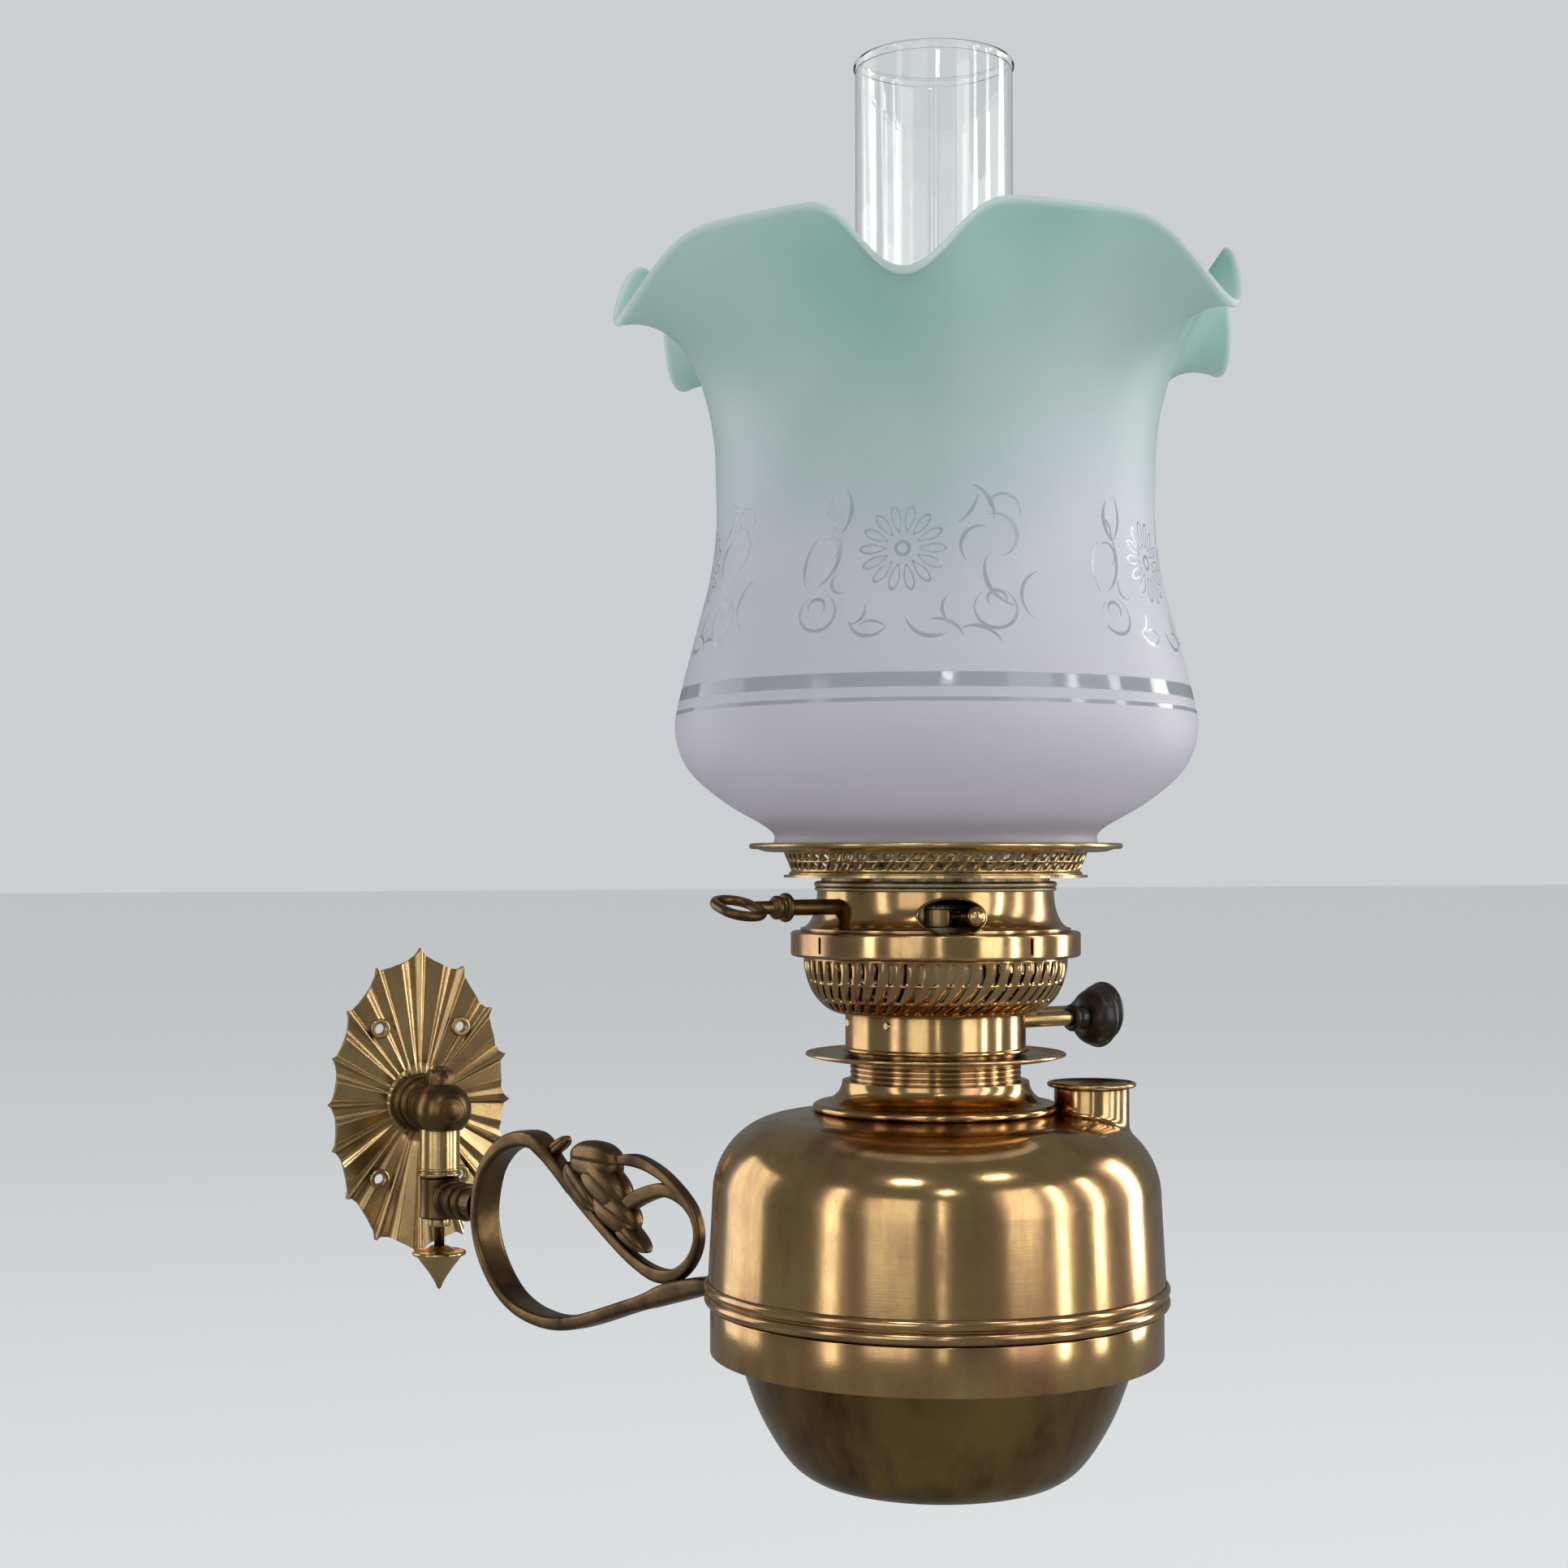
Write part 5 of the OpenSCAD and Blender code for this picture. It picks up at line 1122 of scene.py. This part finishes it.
# Flange, neck and ball turned about the way out from the wall, with flats for the nut and the tube
def makeBoss(form):
    centre, ball = form["out"] + form["ahead"], form["ball"]
    join = math.degrees(math.acos(7.5 / ball))
    outline = line(*form["boss"], arc(11, 6, 1, 1.2, 10, 90, 8), *form["bossNeck"],
                   arc(0, centre, ball, ball, 2 - join, 58, 36), arc(4.7, centre + ball - 1.6, 0.9, 0.9, 10, 80, 8),
                   arc(0, centre + ball - 1.2, 4.0, 1.1, 30, 90, 10))
    points, faces = spunAlong(softened(outline, 0.3), "y", (0, 0, 0), 128)
    boss = makePiece("wall_boss", points * (1, -1, 1) * mm, faces)
    cutAway(boss, *scaled(block((-12, -50, form["flat"]), (12, -20, 20))))
    cutAway(boss, *scaled(block((-12, -50, -20), (12, -20, form["low"]))))
    cutAway(boss, *scaled(tube([(0, -form["out"], -15), (0, -form["out"], 15)], form["bore"], 48)))


def makeSwivel(form):
    bore, neck, low = form["bore"], form["neck"], form["neckLow"]
    tubeLine = line((bore, low), (neck + 0.2, low), arc(neck, low + 1, 0.8, 0.8, -60, 60, 10),
                    arc(neck - 0.3, low + 2.9, 0.8, 0.8, -60, 60, 10), (neck, low + 4.4), (neck, form["low"]),
                    (bore, form["low"]))
    points, faces = spun(softened(tubeLine, 0.2), 96)
    makePiece("swivel_neck", (points + (0, -form["out"], 0)) * mm, faces)
    inner, outer, z0, z1 = form["washer"]
    points, faces = spun(softened(line((inner, z0), (outer, z0), (outer, z1), (inner, z1)), 0.35), 64)
    makePiece("pivot_washer", (points + (0, -form["out"], 0)) * mm, faces)
    finial = line((0, -72), smoothCurve([(0.7, -71.5), (1.6, -69.4), (3.4, -66.3), (5.5, -63.3), (7.4, -60.9),
                                         (8.7, -59.1), (9.75, -58.4)], 5),
                  arc(9.75, -57.5, 1, 0.9, -60, 70, 12), (8.4, -56.7), (6.0, -56.2), (4.6, -55.5), (3.4, -54.6),
                  (2.1, -54.5), (2.1, -58.6), (0, -58.6))
    points, faces = spun(softened(finial, 0.2), 96)
    makePiece("finial", (points + (0, -form["out"], 0)) * mm, faces)


# A barrel round the pin, and a stub with three beads that carries the arm
def makeKnuckle(form):
    (low, high), neck, bore = form["barrel"], form["neck"], form["bore"]
    outline = line((bore, low), arc(neck - 0.9, low + 0.9, 0.9, 0.9, -90, 0, 8), (neck - 0.3, low + 3.2),
                   (neck - 0.3, high - 3.2), arc(neck - 0.9, high - 0.9, 0.9, 0.9, 0, 90, 8), (bore, high))
    barrel, barrelFaces = spun(outline, 96)
    core = neck - 1.8
    stub = line((0, 5), (core, 5), (core, neck - 2), arc(neck - 1.6, neck + 0.6, 1.6, 1.6, -88, 88, 14),
                (core, neck + 4.6), arc(neck - 2.2, neck + 7, 1.6, 1.5, -88, 88, 14), (core - 0.4, neck + 9.8),
                arc(neck - 2.2, neck + 12.6, 1.6, 1.5, -88, 88, 14), (core - 0.2, neck + 15.6),
                (core + 0.3, form["stub"] - 1), (0, form["stub"] - 1))
    points, faces = spunAlong(softened(stub, 0.2), "y", (0, 0, 0), 96)
    points, faces = joined((barrel, barrelFaces), (points * (1, -1, 1) + (0, 0, form["mid"]), faces))
    makePiece("knuckle", toArm(points), faces)


makePlate(plateForm)
makeBoss(swivelForm)
makeSwivel(swivelForm)
makeKnuckle(swivelForm)
print("Plate and swivel made")

# Scroll arm

# Points along the bars: share of the way to the ring, rise, width and thickness in mm
scrollForm = {
    "root": 31.0, "span": 186.5, "level": -35.4, "fall": 9.9,
    "bar": [(0.995, 0, 10, 5), (0.885, -1.3, 10, 5), (0.80, -3.7, 10, 5.4), (0.756, -5.1, 9.8, 6.2),
            (0.70, -8.2, 9.4, 7.2), (0.64, -12.0, 9.4, 7.2), (0.59, -15.9, 9.8, 5.8), (0.536, -19.6, 10, 5),
            (0.343, -32.7, 10, 5.2), (0.22, -35.2, 11, 5), (0.118, -30.9, 11.5, 4.6), (0.043, -19.2, 12, 4.3),
            (0.011, -4.5, 12, 4.2), (0.027, 11.7, 12, 4.5), (0.07, 22.1, 11, 5.5), (0.129, 28.7, 10, 6.3),
            (0.209, 30.5, 9, 6.3), (0.273, 23.6, 6.5, 5.5), (0.33, 16.0, 5, 4.6)],
    "loop": [(0.209, 30.5, 8.5, 6.3), (0.273, 23.8, 6.5, 5.5), (0.367, 12.3, 5, 4.6), (0.471, 1.9, 4.5, 4.4),
             (0.544, -3.8, 4.4, 4.5), (0.611, -6.2, 4.6, 5.2), (0.67, -4.2, 4.4, 4.6), (0.718, 2.8, 4, 3.7),
             (0.737, 11.7, 3.8, 3.4), (0.716, 20.3, 4, 3.5), (0.652, 27.6, 4, 3.9), (0.59, 31.2, 4, 4.4),
             (0.536, 32.1, 4, 4.6), (0.47, 30.5, 3, 3)],
    "tongue": [(0.50, 13.5, 5, 6), (0.54, 18.2, 5, 6), (0.60, 22.8, 5, 5.4), (0.645, 24.4, 4.6, 4.8),
               (0.69, 22.4, 4.0, 3.6), (0.72, 18.6, 3.6, 3),
               (0.7335, 13.5, 3.2, 2.4)],
    # Leaves: root and tip as share and rise, half widths at each, half thickness
    "leaves": [((0.365, 28.2), (0.452, 28.8), 7.0, 7.8, 5.2), ((0.405, 24.5), (0.482, 18.2), 7.4, 7.6, 5.6),
               ((0.442, 14.2), (0.517, 10.2), 6.8, 6.8, 5.0), ((0.505, 7.0), (0.572, 1.6), 5.2, 2.2, 4.2),
               ((0.262, 28.5), (0.306, 33.3), 2.6, 2.3, 2.8), ((0.325, 22.0), (0.40, 12.5), 5.0, 4.6, 3.8)],
    "lug": (70.02, 73.0, 26.0), "ring": (68.0, 70.0), "low": -52.6, "high": -38.0, "reach": 287.5,
}


# Place of a share and a rise in the arm's upright plane: metres are left to toArm
def onArm(form, share, rise):
    return np.stack([-(form["root"] + form["span"] * share), form["level"] + rise - form["fall"] * share], axis=-1)


# Sections with rounded corners along a path in the arm's plane, closed at both ends
def strap(form, bar, power=0.42, sides=36):
    rows = smoothCurve(bar, 12)
    path = onArm(form, rows[:, 0], rows[:, 1])
    along = np.gradient(path, axis=0)
    along /= np.linalg.norm(along, axis=1, keepdims=True)
    turn = (np.arange(sides) + 0.5) * 2 * math.pi / sides
    wide, thick = (np.sign(way) * np.abs(way) ** power for way in (np.cos(turn), np.sin(turn)))
    x = rows[:, 2:3] / 2 * wide
    y = path[:, :1] - along[:, 1:] * rows[:, 3:] / 2 * thick
    z = path[:, 1:] + along[:, :1] * rows[:, 3:] / 2 * thick
    grid = np.stack([x, y, z], axis=-1)
    ends = [np.repeat(grid[end].mean(axis=0)[None, None], sides, 1) for end in (0, -1)]
    points = np.concatenate([ends[0], grid, ends[1]])
    return points.reshape(-1, 3), gridFaces(len(points), sides)


# A plump leaf: round ends, a groove down the middle of each side and a lifted edge
def leaf(form, root, tip, low, high, thick, rows=40, sides=48):
    a, b = onArm(form, *root), onArm(form, *tip)
    along = (b - a) / np.linalg.norm(b - a)
    a, b = a - along * low * 0.9, b + along * high * 0.9
    s = (1 - np.cos(np.linspace(0, math.pi, rows))) / 2
    round_ = (1 - np.abs(2 * s - 1) ** 2.6) ** 0.5
    half = (low + (high - low) * s) * round_
    turn = np.arange(sides) * 2 * math.pi / sides
    across, side = np.cos(turn), np.sin(turn)
    veins = 1 - 0.24 * np.exp(-(across / 0.16) ** 2) + 0.06 * np.cos(across * 9)
    x = thick * round_[:, None] ** 0.8 * np.sign(side) * np.abs(side) ** 0.75 * veins
    middle = a + (b - a) * s[:, None]
    y = middle[:, :1] - along[1] * half[:, None] * across
    z = middle[:, 1:] + along[0] * half[:, None] * across
    return np.stack([x, y, z], axis=-1).reshape(-1, 3), gridFaces(rows, sides)


def makeScroll(form):
    parts = [strap(form, form[bar]) for bar in ("bar", "loop", "tongue")]
    parts += [leaf(form, *spec) for spec in form["leaves"]]
    inner, outer, wide = form["lug"]
    corners = line((inner, form["low"]), (outer, form["low"]), (outer, form["high"]), (inner, form["high"]))
    outline = softened(corners, 0.8)
    half = math.asin(wide / 2 / outer)
    turn = np.concatenate([[-half], np.linspace(-half, half, 24), [half]])
    r = np.repeat(outline[:, :1], len(turn), 1)
    z = np.repeat(outline[:, 1:], len(turn), 1)
    r[:, [0, -1]], z[:, [0, -1]] = outline[:, 0].mean(), outline[:, 1].mean()
    pad = np.stack([r * np.sin(turn), r * np.cos(turn) - form["reach"], z], axis=-1)
    parts.append((pad.reshape(-1, 3), gridFaces(len(outline), len(turn), loopRows=True, loopColumns=False)))
    points, faces = joined(*parts)
    makePiece("scroll_arm", toArm(points), faces, 42.0)


def makeRing(form):
    inner, outer = form["ring"]
    corners = line((inner, form["low"]), (outer, form["low"]), (outer, form["high"]), (inner, form["high"]))
    points, faces = spun(softened(corners, 0.6), 224)
    makePiece("carrying_ring", toLamp(points), faces, 40.0)


makeScroll(scrollForm)
makeRing(scrollForm)
print("Arm made")

# All other nodes: welded copies in their finish

for nodeName in sorted(frame["nodes"]):
    if "made_" + nodeName not in bpy.data.objects:
        dressNode(nodeName)
print("Nodes dressed")

# Stage and light

stageLook = {
    "floorHeight": -0.30,
    "floor": (0.90, 0.90, 0.90),
    "pale": (0.60, 0.625, 0.635),
    "glossy": 0.28,      # how much of the pale tone is mirrored in metal and glass
}


# 1 for rays that metal or glass mirrors, 0 for all others
def mirroredOnly(tree):
    path = tree.nodes.new("ShaderNodeLightPath").outputs
    return calc(tree, "SUBTRACT", path["Is Glossy Ray"], path["Is Transmission Ray"], clamp=True)


# A wide pale floor, and a world of the same tone; both are mirrored darker, the floor by a darker colour for mirrored
# rays, a painted dark reflection like the far end of a room
def makeStage(look):
    mesh = bpy.data.meshes.new("floor")
    half, z = 30.0, look["floorHeight"]
    mesh.from_pydata([(-half, -half, z), (half, -half, z), (half, half, z), (-half, half, z)], [], [(0, 1, 2, 3)])
    floor = bpy.data.objects.new("floor", mesh)
    bpy.context.scene.collection.objects.link(floor)
    material, tree, shader, vector = newMaterial("floor_paint")
    # The floor's colour drops for mirrored rays: a painted dark reflection
    feed(tree, shader.inputs["Base Color"],
         mixColour(tree, mirroredOnly(tree), look["floor"], [tone * look["glossy"] for tone in look["floor"]]))
    shader.inputs["Roughness"].default_value = 0.9
    shader.inputs["Specular IOR Level"].default_value = 0.1
    mesh.materials.append(material)
    world = bpy.data.worlds.new("studio")
    world.use_nodes = True
    bpy.context.scene.world = world
    tree = world.node_tree
    background = next(node for node in tree.nodes if node.type == "BACKGROUND")
    feed(tree, background.inputs["Color"], look["pale"])
    feed(tree, background.inputs["Strength"], ramp(tree, mirroredOnly(tree), 0.0, 1.0, 1.0, look["glossy"]))


# Each panel of light: degrees round the lamp from the camera towards the photo's left, distance and height in
# metres, width and height, and strength against white. Soft ones light what is matt and stand high, so that they
# leave no edge on the floor; the others are windows and walls that metal and glass mirror
lights = {
    "softLeft": dict(turn=65, away=2.4, up=1.5, size=(1.4, 1.4), strength=1.2, soft=True),
    "softRight": dict(turn=-70, away=2.4, up=1.5, size=(1.4, 1.4), strength=3.2, soft=True),
    "softTop": dict(turn=-30, away=0.8, up=2.6, size=(1.2, 1.2), strength=2.5, soft=True),
    "leftWall": dict(turn=112, away=1.3, up=0.20, size=(0.80, 0.9), strength=1.4, soft=False),
    "leftWindow": dict(turn=52, away=1.5, up=0.25, size=(0.22, 1.2), strength=2.6, soft=False),
    "frontLeft": dict(turn=22, away=2.2, up=0.35, size=(1.00, 1.2), strength=1.1, soft=False),
    "frontSlit": dict(turn=-3, away=2.0, up=0.30, size=(0.07, 1.1), strength=3.2, soft=False),
    "frontWall": dict(turn=-44, away=1.8, up=0.45, size=(0.60, 1.3), strength=2.0, soft=False),
    "rightWindow": dict(turn=-64, away=1.5, up=0.30, size=(0.12, 1.1), strength=9.0, soft=False),
    "rightWindow2": dict(turn=-87, away=1.5, up=0.30, size=(0.15, 1.1), strength=7.0, soft=False),
    "rightWindow3": dict(turn=-118, away=1.5, up=0.30, size=(0.32, 1.1), strength=7.0, soft=False),
    "ceilingLeft": dict(turn=18, away=1.2, up=1.30, size=(0.30, 0.12), strength=20.0, soft=False),
    "ceilingMiddle": dict(turn=-6, away=1.6, up=1.10, size=(0.14, 0.12), strength=16.0, soft=False),
    "ceilingRight": dict(turn=-42, away=1.1, up=1.40, size=(0.30, 0.10), strength=16.0, soft=False),
}


def makeLight(name, setting):
    data = bpy.data.lights.new(name, "AREA")
    data.shape = "RECTANGLE"
    data.size, data.size_y = setting["size"]
    data.energy = setting["strength"] * math.pi * data.size * data.size_y
    lamp = bpy.data.objects.new(name, data)
    lamp.visible_camera = False
    lamp.visible_diffuse, lamp.visible_glossy = setting["soft"], not setting["soft"]
    centre = Vector((lampX, lampY, 0.03))
    toCamera = math.atan2(view["place"][1] - lampY, view["place"][0] - lampX)
    turn = toCamera - math.radians(setting["turn"])
    lamp.location = (lampX + setting["away"] * math.cos(turn), lampY + setting["away"] * math.sin(turn), setting["up"])
    lamp.rotation_euler = (centre - lamp.location).to_track_quat("-Z", "Y").to_euler()
    bpy.context.scene.collection.objects.link(lamp)


makeStage(stageLook)
for lightName, lightSetting in lights.items():
    makeLight(lightName, lightSetting)
bpy.context.scene.view_settings.view_transform = "Standard"
print("Stage and lights ready")

bpy.context.view_layer.update()
